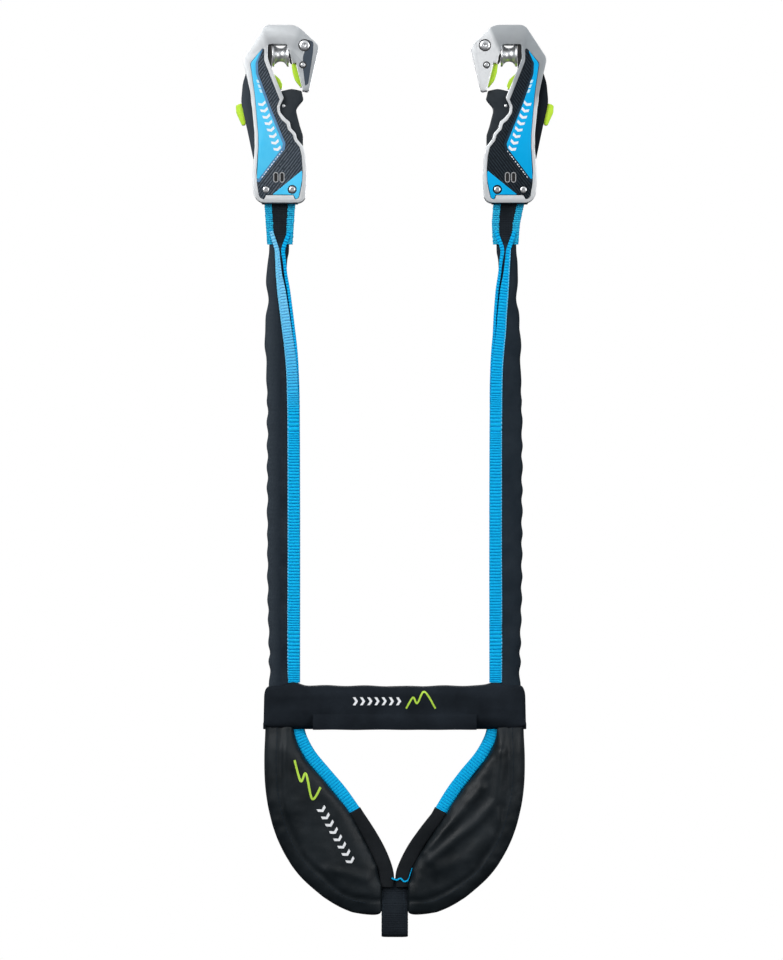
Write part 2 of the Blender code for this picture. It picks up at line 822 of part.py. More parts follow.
def make_webbing_loop(name, side):
    """The flat webbing that goes round the carabiner's bar and is sewn to itself below it."""
    inner_radius = BAR_RADIUS + GAP
    parting = 0.4
    outer = bar_loop(inner_radius + WEBBING, WEBBING + parting, -156.0, LOOP_BOTTOM)
    inner = bar_loop(inner_radius, parting, -150.0, -152.0)

    def half_width(z):
        below = max(0.0, FRAME_BOTTOM - z) / (FRAME_BOTTOM - LOOP_BOTTOM)
        return LOOP_HALF_WIDTH - LOOP_NARROWING * below

    shape = strap_ring(outer, inner, half_width)
    add_mesh(f"{name}_webbing_loop", shape, "blue_fabric", side, -LOOP_CENTRE)


def arm_stations():
    """Heights down the arm, with its outer edge, its inner edge and its half depth there."""
    return [
        (LOOP_BOTTOM - GAP, -121.6, -101.2, 4.5),
        (-184.0, -121.2, -103.0, 5.2),
        (-206.0, -122.8, -102.2, 5.5),
        (-238.0, -123.6, -98.2, 5.5),
        (-268.0, -124.2, -94.2, 5.5),
        (-310.0, -122.4, -92.0, 5.5),
        (-400.0, -121.6, -91.4, 5.5),
        (-500.0, -121.2, -91.4, 5.5),
        (BAND_TOP + GAP, -120.4, -90.8, 5.5),
    ]


def make_arm(name, side):
    """The arm: tubular webbing, folded lengthwise, with an elastic strip inside it."""
    wall = WEBBING
    outer = []
    hollow = []
    for z, left, right, half_depth in arm_stations():
        outer.append(capsule_section(left, right, half_depth, z))
        hollow.append(capsule_section(left + wall, right - wall, half_depth - wall, z))
    add_mesh(f"{name}_arm", loft(outer, hollow), "black_fabric", side)
    elastic = []
    for z, arm_left, arm_right, _ in arm_stations()[1:]:
        middle = (arm_left + arm_right) / 2
        left = middle - ELASTIC_HALF_WIDTH
        right = middle + ELASTIC_HALF_WIDTH
        elastic.append(capsule_section(left, right, ELASTIC_HALF_DEPTH, z))
    add_mesh(f"{name}_arm_elastic", loft(elastic), "black_fabric", side)


def make_band():
    """The cross band and the flap on its front."""
    low = (-BAND_HALF_WIDTH, -BAND_HALF_DEPTH, BAND_BOTTOM)
    high = (BAND_HALF_WIDTH, BAND_HALF_DEPTH, BAND_TOP)
    bevel(add_mesh("band", block(low, high), "black_fabric"), 5.0, 2)
    front = -BAND_HALF_DEPTH - GAP
    low = (-FLAP_HALF_WIDTH, front - FLAP_THICKNESS, BAND_BOTTOM)
    high = (FLAP_HALF_WIDTH, front, FLAP_TOP)
    bevel(add_mesh("band_flap", block(low, high), "black_fabric"), 0.6)


def pouch_outline():
    """One lobe: the outer curve, the slot for the tie-in loop, and the edge beside the tape."""
    top = BAND_BOTTOM - GAP
    outer = [
        (-125.0, top, 4),
        (-125.6, -668.0, 60),
        (-120.6, -718.0, 90),
        (-104.6, -757.0, 90),
        (-82.0, -786.5, 70),
        (-44.0, -811.0, 90),
        (-TIE_LOOP_HALF_WIDTH - 1.0, -813.6, 2),
    ]
    inner = [
        (-TIE_LOOP_HALF_WIDTH - 1.0, -783.0, 1),
        (-16.6, -779.0, 3),
        (-20.4, -764.5, 20),
        (-30.8, -742.5, 40),
        (-44.6, -716.5, 60),
        (-72.0, -681.0, 60),
        (-86.6, -664.5, 30),
        (-96.2, -645.0, 20),
        (-99.6, top, 2),
    ]
    return rounded(outer + inner)


def absorber_room_outline(top):
    """The space inside a lobe for the folded absorber, up to the height top."""
    return rounded(
        [
            (-104.0, top, 0),
            (-104.0, -648.0, 20),
            (-88.0, -677.0, 30),
            (-58.0, -717.0, 30),
            (-43.0, -752.0, 8),
            (-48.0, -790.0, 6),
            (-74.0, -780.0, 30),
            (-104.0, -742.0, 60),
            (-119.0, -692.0, 60),
            (-119.0, top, 0),
        ]
    )


def make_pouch_half(name, side):
    """One lobe of the pouch, open at the top under the band, with half the absorber in it."""
    shape = prism(pouch_outline(), -POUCH_HALF_DEPTH, POUCH_HALF_DEPTH)
    lobe = add_mesh(f"{name}_pouch_half", shape, "black_fabric", side)
    bevel(lobe, 4.0, 2)
    depth = POUCH_HALF_DEPTH - POUCH_WALL
    room = prism(absorber_room_outline(BAND_TOP), -depth, depth)
    cut(lobe, add_mesh(f"{name}_cut_pouch_room", room, None, side))
    pack_outline = inset(absorber_room_outline(BAND_BOTTOM), ABSORBER_PLAY)
    pack = prism(pack_outline, ABSORBER_PLAY - depth, depth - ABSORBER_PLAY)
    add_mesh(f"{name}_absorber", pack, "blue_fabric", side)


def make_tape(name, side):
    """The blue load tape along the lobe's inner edge, and the black sleeve at its lower end."""
    tape = rounded(
        [
            (-98.6, BAND_BOTTOM - GAP, 0),
            (-94.4, -646.0, 20),
            (-84.8, -665.0, 40),
            (-70.4, -681.8, 60),
            (-43.6, -716.0, 0),
            (-33.6, -711.0, 0),
            (-62.6, -672.4, 60),
            (-77.6, -652.5, 40),
            (-86.0, BAND_BOTTOM - GAP, 0),
        ]
    )
    shape = prism(tape, -TAPE_HALF_DEPTH, TAPE_HALF_DEPTH)
    bevel(add_mesh(f"{name}_load_tape", shape, "blue_fabric", side), 0.6)
    sleeve = rounded(
        [
            (-43.8, -716.9, 0),
            (-29.8, -743.0, 40),
            (-19.2, -765.0, 20),
            (-15.4, -781.2, 2),
            (-0.4, -781.2, 0),
            (-0.4, -776.6, 0),
            (-8.8, -757.0, 40),
            (-23.6, -727.2, 60),
            (-32.6, -711.3, 0),
        ]
    )
    shape = prism(sleeve, -SLEEVE_HALF_DEPTH, SLEEVE_HALF_DEPTH)
    bevel(add_mesh(f"{name}_tape_sleeve", shape, "black_fabric", side), 1.0)


def eye_loop(half_depth, top, bottom, floor_half, stem_half):
    """The tie-in loop from the side: a stem that opens into an eye with a flat floor."""
    right = [
        (stem_half, top),
        (half_depth * 0.6, top - 6.0),
        (half_depth, top - 16.0),
        (half_depth, bottom + 6.0),
        (half_depth * 0.85, bottom + 2.0),
        (floor_half, bottom),
    ]
    return right + [(-y, z) for y, z in reversed(right)]


def make_tie_in_loop():
    """The loop that is hitched to the harness."""
    stem = WEBBING + GAP / 2
    outer = eye_loop(TIE_LOOP_HALF_DEPTH, TIE_LOOP_TOP, TIE_LOOP_BOTTOM, 4.5, stem)
    room = TIE_LOOP_HALF_DEPTH - WEBBING
    inner = eye_loop(room, TIE_LOOP_TOP - 8.0, TIE_LOOP_BOTTOM + WEBBING, 3.8, 0.3)
    shape = strap_ring(outer, inner, lambda z: TIE_LOOP_HALF_WIDTH)
    add_mesh("tie_in_loop", shape, "black_fabric")


def main():
    clear_scene()
    for name, side in SIDES.items():
        make_carabiner(name, side)
        make_webbing_loop(name, side)
        make_arm(name, side)
        make_pouch_half(name, side)
        make_tape(name, side)
    make_band()
    make_tie_in_loop()


main()
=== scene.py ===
"""Looks of the via ferrata lanyard set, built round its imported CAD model.

The carabiners are rebuilt from their outlines with finer edges, and every strap, tape, band and
pouch is woven, folded or filled. Lengths below are in millimetres and become metres in make().
A carabiner's own x is measured from its cable's centre towards its nose. The left half is
modelled, and side mirrors it for the right.
"""

import json
import math

import bmesh
import bpy
from mathutils import Matrix, Vector, noise


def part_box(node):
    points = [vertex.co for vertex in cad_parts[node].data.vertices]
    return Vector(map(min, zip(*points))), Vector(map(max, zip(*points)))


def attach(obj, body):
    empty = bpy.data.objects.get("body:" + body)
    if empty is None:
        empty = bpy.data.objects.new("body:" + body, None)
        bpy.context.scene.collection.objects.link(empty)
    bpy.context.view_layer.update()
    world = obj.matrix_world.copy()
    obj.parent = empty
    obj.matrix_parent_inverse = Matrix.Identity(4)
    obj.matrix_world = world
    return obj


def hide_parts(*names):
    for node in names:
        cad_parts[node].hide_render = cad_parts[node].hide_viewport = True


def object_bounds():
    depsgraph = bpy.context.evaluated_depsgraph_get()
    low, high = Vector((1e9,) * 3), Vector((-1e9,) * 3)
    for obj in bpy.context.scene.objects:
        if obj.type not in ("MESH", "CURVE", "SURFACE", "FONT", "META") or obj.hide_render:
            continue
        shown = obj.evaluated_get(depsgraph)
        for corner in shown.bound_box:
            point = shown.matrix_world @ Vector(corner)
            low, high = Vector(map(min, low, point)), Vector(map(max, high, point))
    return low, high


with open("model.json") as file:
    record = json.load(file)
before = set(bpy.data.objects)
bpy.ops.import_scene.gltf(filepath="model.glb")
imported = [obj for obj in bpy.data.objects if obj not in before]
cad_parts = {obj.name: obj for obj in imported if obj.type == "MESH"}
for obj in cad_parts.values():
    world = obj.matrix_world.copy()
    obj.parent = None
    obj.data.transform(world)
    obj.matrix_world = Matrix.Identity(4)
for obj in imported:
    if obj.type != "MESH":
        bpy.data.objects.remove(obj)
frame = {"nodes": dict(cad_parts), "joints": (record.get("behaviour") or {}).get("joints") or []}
CAD_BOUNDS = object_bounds()

MM = 0.001
LEFT = 1
RIGHT = -1
SIDES = {"left": LEFT, "right": RIGHT}


def joint_place(name):
    """A joint's place in millimetres."""
    joint = next(j for j in frame["joints"] if j["name"] == name)
    return Vector(joint["pos_m"]) / MM


def node_box(name):
    """A CAD node's lowest and highest corner in millimetres."""
    low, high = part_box(name)
    return low / MM, high / MM


# What the frame says
GATE_PIN = (12.0, -91.0)
HALF_SPACING = joint_place("right_gate_open").x + GATE_PIN[0]
BAR_Z = joint_place("left_carabiner_swing").z
ROLLER_Z = joint_place("left_roller_spin").z
ROLLER_X = joint_place("left_roller_spin").x + HALF_SPACING
FRAME_HALF_DEPTH = node_box("left_frame")[1].y
FRAME_BOTTOM = node_box("left_frame")[0].z
GATE_HALF_DEPTH = node_box("left_gate")[1].y
LEVER_HALF_DEPTH = node_box("left_palm_lever")[1].y
BUTTON_HALF_DEPTH = node_box("left_release_button")[1].y
CATCH_HALF_DEPTH = node_box("left_lock_catch")[1].y
GUIDE_HALF_DEPTH = node_box("left_nose_guide")[1].y
POUCH_HALF_DEPTH = node_box("left_pouch_half")[1].y
FLANGE_RADIUS = node_box("left_cable_roller")[1].y
BAND_LOW, BAND_HIGH = node_box("band")
FLAP_LOW, FLAP_HIGH = node_box("band_flap")
LOOP_LOW, LOOP_HIGH = node_box("left_webbing_loop")
LOOP_CENTRE = (LOOP_LOW.x + LOOP_HIGH.x) / 2
TIE_LOW, TIE_HIGH = node_box("tie_in_loop")

# Edges and gaps
ARC_STEP = math.radians(11)
SMOOTH_ANGLE = math.radians(32)
BEVEL_ANGLE = math.radians(40)
GAP = 0.3
COVER_THICKNESS = 1.8
PANEL_PROUD = 0.4
PRINT_FRONT = -FRAME_HALF_DEPTH - PANEL_PROUD - 0.06
PRINT_DEPTH = 0.3
PIN_RING = 1.1
LINING_HALF_DEPTH = 9.4

# Pins and screws, at the carabiner's own x and z
LEVER_PIN = (-19.5, -93.0)
NOSE_PINS = {"large": (22.7, 21.0, 4.8), "small": (21.2, 2.1, 2.4)}
SCREWS = {"outer": (-14.2, -117.4), "inner": (10.9, -117.2)}
RIVET = (2.6, -36.8)
GEAR_SLOTS = {"outer": -4.7, "inner": 1.2}

# The roller's section, and the cable that fits its groove
ROLLER_HALF_WIDTH = 8.0
ROLLER_BORE = 2.8
GROOVE_FLOOR = 6.4
GROOVE_RADIUS = 6.2
CABLE_RADIUS = 6.0

# Cloth
RIB_PITCH = 2.8
RINGS_PER_RIB = 6
POUCH_VOXEL = 0.0045
CLOTH_FRAMES = 20
IN_PLANE = 0.15
BORDER_WIDTH = 15.0
TAPE_FRONT = -3.4
FLAP_ROWS = 8
FLAP_COLUMNS = 90
FLAP_THICKNESS = 1.8

# The covers' hatching
HATCH_PITCH = 2.4
HATCH_WARP = 1.0
HATCH_ACROSS = (0.80, 0.60)

# The grain of ink and slate, as (size, detail, depth, strength)
FINE_GRAIN = (0.4, 3.0, 0.03, 0.5)

# Creases in each lobe, as (route, width, height)
RIDGES = {
    LEFT: [
        ([(-105, -652), (-107, -690), (-103, -735)], 5.0, 1.6),
        ([(-86, -690), (-80, -730), (-62, -764)], 12.0, 1.8),
        ([(-66, -768), (-46, -772), (-28, -778)], 4.0, 1.4),
        ([(-90, -752), (-80, -768), (-64, -776)], 5.0, 1.2),
    ],
    RIGHT: [
        ([(-102, -655), (-100, -680), (-97, -703), (-80, -722), (-55, -742), (-34, -760)], 4.5, 3.0),
        ([(-84, -690), (-62, -716), (-42, -738), (-28, -752)], 4.0, 2.2),
        ([(-98, -712), (-100, -735), (-96, -757)], 3.0, 1.8),
        ([(-90, -735), (-70, -758), (-40, -768)], 7.0, 1.8),
    ],
}

# How the right half differs from the mirrored left one, as (height, millimetres)
ARM_LEAN = [
    (-328, 0), (-257, 0.9), (-237, 2.4), (-213, 3.6), (-200, 4.0), (-150, 3.6), (-134, 1.4),
    (-129, 0.2), (-112, 0),
]
SLEEVE_SLIM = [(-335, 0), (-290, 1.8), (-250, 3.2), (-232, 1.2), (-207, 1.6), (-185, 0)]
TAPE_SPREAD = [(-840, 0), (-772, 0), (-746, 2.2), (-716, 6.0), (-700, 4.5), (-674, 2.0), (-600, 1.6)]


# Outlines and solids, as (points, faces) in millimetres


def rounded(corners, arc_step=ARC_STEP):
    """The outline through corners (x, z, radius), with an arc of that radius at each of them."""
    outline = []
    for i, (x, z, radius) in enumerate(corners):
        here = Vector((x, z))
        into = (Vector(corners[i - 1][:2]) - here).normalized()
        out = (Vector(corners[(i + 1) % len(corners)][:2]) - here).normalized()
        turn = math.pi - into.angle(out)
        if radius <= 0 or turn < arc_step / 4:
            outline.append((x, z))
            continue
        reach = radius * math.tan(turn / 2)
        steps = max(1, round(turn / arc_step))
        centre = here + (into + out).normalized() * (radius / math.cos(turn / 2))
        start = here + into * reach - centre
        sign = 1 if into.x * out.y - into.y * out.x < 0 else -1
        for k in range(steps + 1):
            spun = Matrix.Rotation(sign * turn * k / steps, 2) @ start
            outline.append((centre.x + spun.x, centre.y + spun.y))
    return outline


def arc(centre, radius, start, end):
    """Corners along the arc round centre, from angle start to angle end in degrees."""
    steps = max(1, round(math.radians(abs(end - start)) / ARC_STEP))
    angles = [math.radians(start + (end - start) * k / steps) for k in range(steps + 1)]
    return [(centre[0] + radius * math.cos(a), centre[1] + radius * math.sin(a), 0) for a in angles]


def inset(outline, distance):
    """The outline, which runs clockwise, with every edge moved inwards by distance."""
    moved = []
    for i, (x, z) in enumerate(outline):
        here = Vector((x, z))
        along = (here - Vector(outline[i - 1])).normalized()
        onward = (Vector(outline[(i + 1) % len(outline)]) - here).normalized()
        bisector = (Vector((along.y, -along.x)) + Vector((onward.y, -onward.x))).normalized()
        spot = here + bisector * (distance / max(0.3, bisector.dot(Vector((along.y, -along.x)))))
        moved.append((spot.x, spot.y))
    return moved


def prism(outline, front, back):
    """The outline in x and z, carried along y from front to back."""
    count = len(outline)
    points = [(x, front, z) for x, z in outline] + [(x, back, z) for x, z in outline]
    faces = [tuple(range(count)), tuple(range(2 * count - 1, count - 1, -1))]
    for i in range(count):
        after = (i + 1) % count
        faces.append((i, count + i, count + after, after))
    return points, faces


def slab(outline, half_depth):
    """The outline in x and z, as thick in front of the middle plane as behind it."""
    return prism(outline, -half_depth, half_depth)


def block(low, high):
    """A box from its lowest corner to its highest."""
    outline = [(low[0], low[2]), (high[0], low[2]), (high[0], high[2]), (low[0], high[2])]
    return prism(outline, low[1], high[1])


def rings(rows, closed=True):
    """A body through rows of equally many points, with its ends capped unless the rows close."""
    count = len(rows[0])
    points = [point for row in rows for point in row]
    faces = []
    for row in range(len(rows) - (1 if closed else 0)):
        below = (row + 1) % len(rows) * count
        for k in range(count):
            after = (k + 1) % count
            faces.append((row * count + k, row * count + after, below + after, below + k))
    if closed:
        faces.append(tuple(range(count)))
        faces.append(tuple(range((len(rows) - 1) * count, len(rows) * count)))
    return points, faces


def turned(profile, centre, along, segments=48, ring=False):
    """A profile of (distance along the axis, radius), turned round the x or the y axis."""
    rows = []
    for reach, radius in profile:
        row = []
        for k in range(segments):
            angle = 2 * math.pi * (k + 0.5) / segments
            across = radius * math.cos(angle)
            up = radius * math.sin(angle)
            offset = (reach, across, up) if along == "x" else (across, reach, up)
            row.append(tuple(c + d for c, d in zip(centre, offset)))
        rows.append(row)
    return rings(rows, closed=not ring)


def shaft(centre, along, half_length, radius, segments=32):
    """A plain shaft."""
    return turned([(-half_length, radius), (half_length, radius)], centre, along, segments)


def make(name, shape, material=None, side=LEFT, shift=0.0):
    """Makes an object in metres from (points, faces) in millimetres, moved in x and then mirrored."""
    points, faces = shape
    mesh = bpy.data.meshes.new(name)
    mesh.from_pydata([(side * (x + shift) * MM, y * MM, z * MM) for x, y, z in points], [], faces)
    work = bmesh.new()
    work.from_mesh(mesh)
    bmesh.ops.recalc_face_normals(work, faces=work.faces)
    work.to_mesh(mesh)
    work.free()
    obj = bpy.data.objects.new(name, mesh)
    bpy.context.scene.collection.objects.link(obj)
    if material is not None:
        mesh.materials.append(material)
    return obj


def bake(obj):
    """Applies the object's modifiers, and shades it smooth except at its sharp edges."""
    graph = bpy.context.evaluated_depsgraph_get()
    mesh = bpy.data.meshes.new_from_object(obj.evaluated_get(graph))
    obj.modifiers.clear()
    obj.data = mesh
    mesh.shade_smooth()
    mesh.set_sharp_from_angle(angle=SMOOTH_ANGLE)
    return obj


def bevel(obj, width, segments):
    """Rounds the object's sharp edges."""
    modifier = obj.modifiers.new("edge_round", "BEVEL")
    modifier.width = width * MM
    modifier.segments = segments
    modifier.limit_method = "ANGLE"
    modifier.angle_limit = BEVEL_ANGLE
    return bake(obj)


def carve(obj, cutters):
    """Takes each cutter's volume out of the object, and removes the cutters."""
    for cutter in cutters:
        modifier = obj.modifiers.new(cutter.name, "BOOLEAN")
        modifier.operation = "DIFFERENCE"
        modifier.solver = "EXACT"
        modifier.object = cutter
    bake(obj)
    for cutter in cutters:
        bpy.data.objects.remove(cutter)
    return obj


def distance_to(route, x, z):
    """How far the point is from the nearest stretch of the route."""
    spot = Vector((x, z))
    nearest = math.inf
    for start, end in zip(route, route[1:]):
        start = Vector(start)
        along = Vector(end) - start
        share = max(0.0, min(1.0, (spot - start).dot(along) / along.length_squared))
        nearest = min(nearest, (start + along * share - spot).length)
    return nearest


def bump_along(route, x, z, width):
    """1 on the route, falling softly to 0 beyond width on either side of it."""
    return math.exp(-((distance_to(route, x, z) / width) ** 2))


def smooth_between(value, low, high):
    """0 below low, 1 above high, and an S-curve between them."""
    t = max(0.0, min(1.0, (value - low) / (high - low)))
    return t * t * (3 - 2 * t)


def level_at(levels, z):
    """The value at height z on the straight lines through (height, value) pairs."""
    for (low, first), (high, second) in zip(levels, levels[1:]):
        if low <= z <= high:
            return first + (second - first) * (z - low) / (high - low)
    return 0.0


def nudged(shape, side, levels, direction):
    """The shape as it is for the left, and moved in x by its height's level for the right."""
    points, faces = shape
    if side == LEFT:
        return shape
    return [(x + direction * level_at(levels, z), y, z) for x, y, z in points], faces


def surface_y(obj, x, z, front):
    """How far forward (or back) the object's surface is at x and z, or None beside it."""
    start = Vector((x, front * 100.0, z)) * MM
    hit, place, _, _ = obj.ray_cast(start, Vector((0.0, -front, 0.0)))
    return place.y / MM if hit else None


def laid_on(shape, obj, side=LEFT, front=-1):
    """The shape, whose y is its height off a surface, laid on the object's front or back."""
    bpy.context.view_layer.update()
    points, faces = shape
    placed = []
    level = 0.0
    for x, y, z in points:
        found = surface_y(obj, side * x, z, front)
        level = level if found is None else found
        placed.append((x, level + front * y, z))
    return placed, faces


def joined(shapes):
    """Several shapes as one."""
    points = []
    faces = []
    for some_points, some_faces in shapes:
        base = len(points)
        points += some_points
        faces += [tuple(base + k for k in face) for face in some_faces]
    return points, faces


def bar(near, heading, length, width, front, back):
    """A bar that starts at near and runs along the heading, as a flat solid."""
    across = Vector((-heading.y, heading.x)) * width / 2
    far = near + heading * length
    outline = [near + across, far + across, far - across, near - across]
    return prism([(p.x, p.y) for p in outline], front, back)


def stitches(route, length=2.2, pitch=3.4, width=0.7, height=0.35):
    """A row of short stitches along a route of (x, z), as low bars around y = 0."""
    shapes = []
    for start, end in zip(route, route[1:]):
        start = Vector(start)
        along = Vector(end) - start
        count = max(1, round(along.length / pitch))
        step = along / count
        heading = step.normalized()
        for k in range(count):
            near = start + step * (k + 0.5) - heading * length / 2
            shapes.append(bar(near, heading, length, width, -PRINT_DEPTH, height))
    return joined(shapes)


def settle(obj, body, slot, *nodes):
    """The piece moves with the body and stands for the nodes, whose CAD parts are hidden; the slot is not
    used.
    """
    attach(obj, body)
    if nodes:
        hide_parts(*nodes)
    return obj


# Materials


class Surface:
    """A Principled material whose colour, roughness and bump are built up from procedural nodes."""

    def __init__(self, name, colour, roughness, metallic=0.0, specular=0.5, subsurface=0.0):
        self.material = bpy.data.materials.new(name)
        self.material.use_nodes = True
        self.nodes = self.material.node_tree.nodes
        self.links = self.material.node_tree.links
        self.shader = self.nodes["Principled BSDF"]
        self.shader.inputs["Base Color"].default_value = (*colour, 1.0)
        self.shader.inputs["Roughness"].default_value = roughness
        self.shader.inputs["Metallic"].default_value = metallic
        self.shader.inputs["Specular IOR Level"].default_value = specular
        self.shader.inputs["Subsurface Weight"].default_value = subsurface
        self.place = self.nodes.new("ShaderNodeTexCoord").outputs["Object"]

    def maths(self, operation, first, second=0.0, clamp=False):
        """A Math node of two values, each a socket or a number."""
        node = self.nodes.new("ShaderNodeMath")
        node.operation = operation
        node.use_clamp = clamp
        for k, value in enumerate((first, second)):
            if isinstance(value, (int, float)):
                node.inputs[k].default_value = value
            else:
                self.links.new(value, node.inputs[k])
        return node.outputs[0]

    def along(self, x, y, z):
        """x times the mirrored world x, plus y times y, plus z times z, in millimetres."""
        split = self.nodes.new("ShaderNodeSeparateXYZ")
        self.links.new(self.place, split.inputs[0])
        mirrored = self.maths("ABSOLUTE", split.outputs[0])
        total = 0.0
        for socket, share in ((mirrored, x), (split.outputs[1], y), (split.outputs[2], z)):
            total = self.maths("ADD", self.maths("MULTIPLY", socket, share / MM), total)
        return total

    def waves(self, distance, pitch):
        """A smooth 0 to 1 wave along a distance in millimetres."""
        wave = self.maths("SINE", self.maths("MULTIPLY", distance, 2 * math.pi / pitch))
        return self.maths("ADD", self.maths("MULTIPLY", wave, 0.5), 0.5)

    def blend(self, factor, first, second):
        """first where the factor is 0, and second where it is 1."""
        change = self.maths("MULTIPLY", self.maths("SUBTRACT", second, first), factor)
        return self.maths("ADD", change, first)

    def convex_edges(self):
        """1 on outward edges and 0 on flat faces."""
        return self.ramp(self.nodes.new("ShaderNodeNewGeometry").outputs["Pointiness"], 0.52, 0.58)

    def attribute(self, name):
        """A number kept at the mesh's points."""
        node = self.nodes.new("ShaderNodeAttribute")
        node.attribute_name = name
        return node.outputs["Fac"]

    def noise(self, size, detail=3.0, stretch=(1.0, 1.0, 1.0)):
        """Noise whose blobs are about size millimetres across."""
        mapping = self.nodes.new("ShaderNodeMapping")
        mapping.inputs["Scale"].default_value = stretch
        self.links.new(self.place, mapping.inputs["Vector"])
        node = self.nodes.new("ShaderNodeTexNoise")
        node.inputs["Scale"].default_value = 1 / (size * MM)
        node.inputs["Detail"].default_value = detail
        self.links.new(mapping.outputs["Vector"], node.inputs["Vector"])
        return node.outputs["Fac"]

    def ramp(self, value, low, high):
        """The value, spread so that low becomes 0 and high becomes 1."""
        node = self.nodes.new("ShaderNodeMapRange")
        node.inputs["From Min"].default_value = low
        node.inputs["From Max"].default_value = high
        self.links.new(value, node.inputs["Value"])
        return node.outputs[0]

    def colours(self, factor, first, second):
        """Drives the colour from first, a colour or a socket, to the colour second by the factor."""
        mix = self.nodes.new("ShaderNodeMix")
        mix.data_type = "RGBA"
        self.links.new(factor, mix.inputs["Factor"])
        sockets = [socket for socket in mix.inputs if socket.type == "RGBA"]
        sockets[1].default_value = (*second, 1.0)
        if isinstance(first, tuple):
            sockets[0].default_value = (*first, 1.0)
        else:
            self.links.new(first, sockets[0])
        colour = next(s for s in mix.outputs if s.type == "RGBA")
        self.links.new(colour, self.shader.inputs["Base Color"])
        return colour

    def rough(self, factor, low, high):
        """Drives the roughness from low to high by the factor."""
        value = self.maths("ADD", self.maths("MULTIPLY", factor, high - low), low)
        self.links.new(value, self.shader.inputs["Roughness"])

    def bump(self, height, depth, strength=1.0):
        """Bumps the surface by the height, over a depth in millimetres."""
        node = self.nodes.new("ShaderNodeBump")
        node.inputs["Strength"].default_value = strength
        node.inputs["Distance"].default_value = depth * MM
        self.links.new(height, node.inputs["Height"])
        self.links.new(node.outputs["Normal"], self.shader.inputs["Normal"])


def satin_alloy(name, nose, arch, outer, rim):
    """Bead-blasted forged aluminium with painted shade: a tone painted on each facet (nose, arch, outer
    edge, rim) for how the light falls on it, a painted highlight on convex edges, and random noise in the
    tone.
    """
    surface = Surface(name, (0.5, 0.53, 0.55), 0.4, metallic=0.7)
    off_nose = surface.ramp(surface.along(-0.92, 0.0, -0.4), -96.5, -100.5)
    on_outer = surface.ramp(surface.along(0.97, 0.0, -0.26), 111.0, 116.0)
    on_rim = surface.ramp(surface.along(0.0, 0.0, 1.0), -26.0, -40.0)
    # The facet tones are painted shade and painted highlight.
    tone = surface.blend(off_nose, nose, arch)
    tone = surface.blend(on_outer, tone, outer)
    tone = surface.blend(on_rim, tone, rim)
    tone = surface.maths("ADD", tone, surface.maths("MULTIPLY", surface.noise(7.0), 0.1))
    # Painted highlight along convex edges.
    tone = surface.maths("ADD", tone, surface.maths("MULTIPLY", surface.convex_edges(), 0.3), True)
    surface.colours(tone, (0.24, 0.27, 0.29), (0.97, 0.99, 1.0))
    surface.rough(surface.noise(4.0), 0.34, 0.48)
    surface.bump(surface.noise(0.35, 2.0), 0.03, 0.5)
    return surface.material


def polished_steel():
    """The rollers, with fine turning marks."""
    surface = Surface("polished_steel", (0.72, 0.73, 0.74), 0.36, metallic=0.9)
    marks = surface.waves(surface.along(1.0, 0.0, 0.0), 0.8)
    surface.rough(marks, 0.33, 0.42)
    surface.bump(marks, 0.01, 0.3)
    return surface.material


def bright_steel():
    """Pins, screws and springs."""
    surface = Surface("bright_steel", (0.78, 0.79, 0.80), 0.3, metallic=0.9)
    surface.rough(surface.noise(0.8), 0.24, 0.4)
    surface.bump(surface.noise(0.6), 0.02, 0.4)
    return surface.material


def black_alloy():
    """Black anodised metal with a satin grain."""
    surface = Surface("black_alloy", (0.010, 0.014, 0.018), 0.42, specular=0.3)
    surface.colours(surface.noise(6.0), (0.010, 0.015, 0.020), (0.020, 0.027, 0.034))
    surface.rough(surface.noise(3.0), 0.36, 0.5)
    surface.bump(surface.noise(0.3, 2.0), 0.03, 0.5)
    return surface.material


def mottled(name, dark, light, patch, roughness, grain, **shader):
    """Plastic, lacquer or ink: two tones in soft patches, and a grain.

    The grain is (size, detail, depth, strength), or None where the surface is smooth.
    """
    surface = Surface(name, light, roughness, **shader)
    surface.colours(surface.noise(patch), dark, light)
    if grain:
        size, detail, depth, strength = grain
        surface.bump(surface.noise(size, detail), depth, strength)
    return surface.material


def print_ink(name, colour):
    """Screen-printed ink, slightly uneven."""
    return mottled(name, tuple(c * 0.88 for c in colour), colour, 1.2, 0.6, FINE_GRAIN)


def hatched_black(name, dark, light, specular):
    """The covers: dark plastic with fine raised diagonal lines."""
    surface = Surface(name, dark, 0.5, specular=specular)
    warp = surface.maths("MULTIPLY", surface.noise(9.0, 2.0), HATCH_WARP)
    across = surface.along(HATCH_ACROSS[0], 0.0, HATCH_ACROSS[1])
    line = surface.waves(surface.maths("ADD", across, warp), HATCH_PITCH)
    breaks = surface.ramp(surface.noise(2.4, 2.0), 0.25, 0.5)
    height = surface.maths("MULTIPLY", surface.maths("POWER", line, 1.5), breaks)
    surface.colours(height, dark, light)
    surface.bump(height, 0.3, 0.9)
    return surface.material


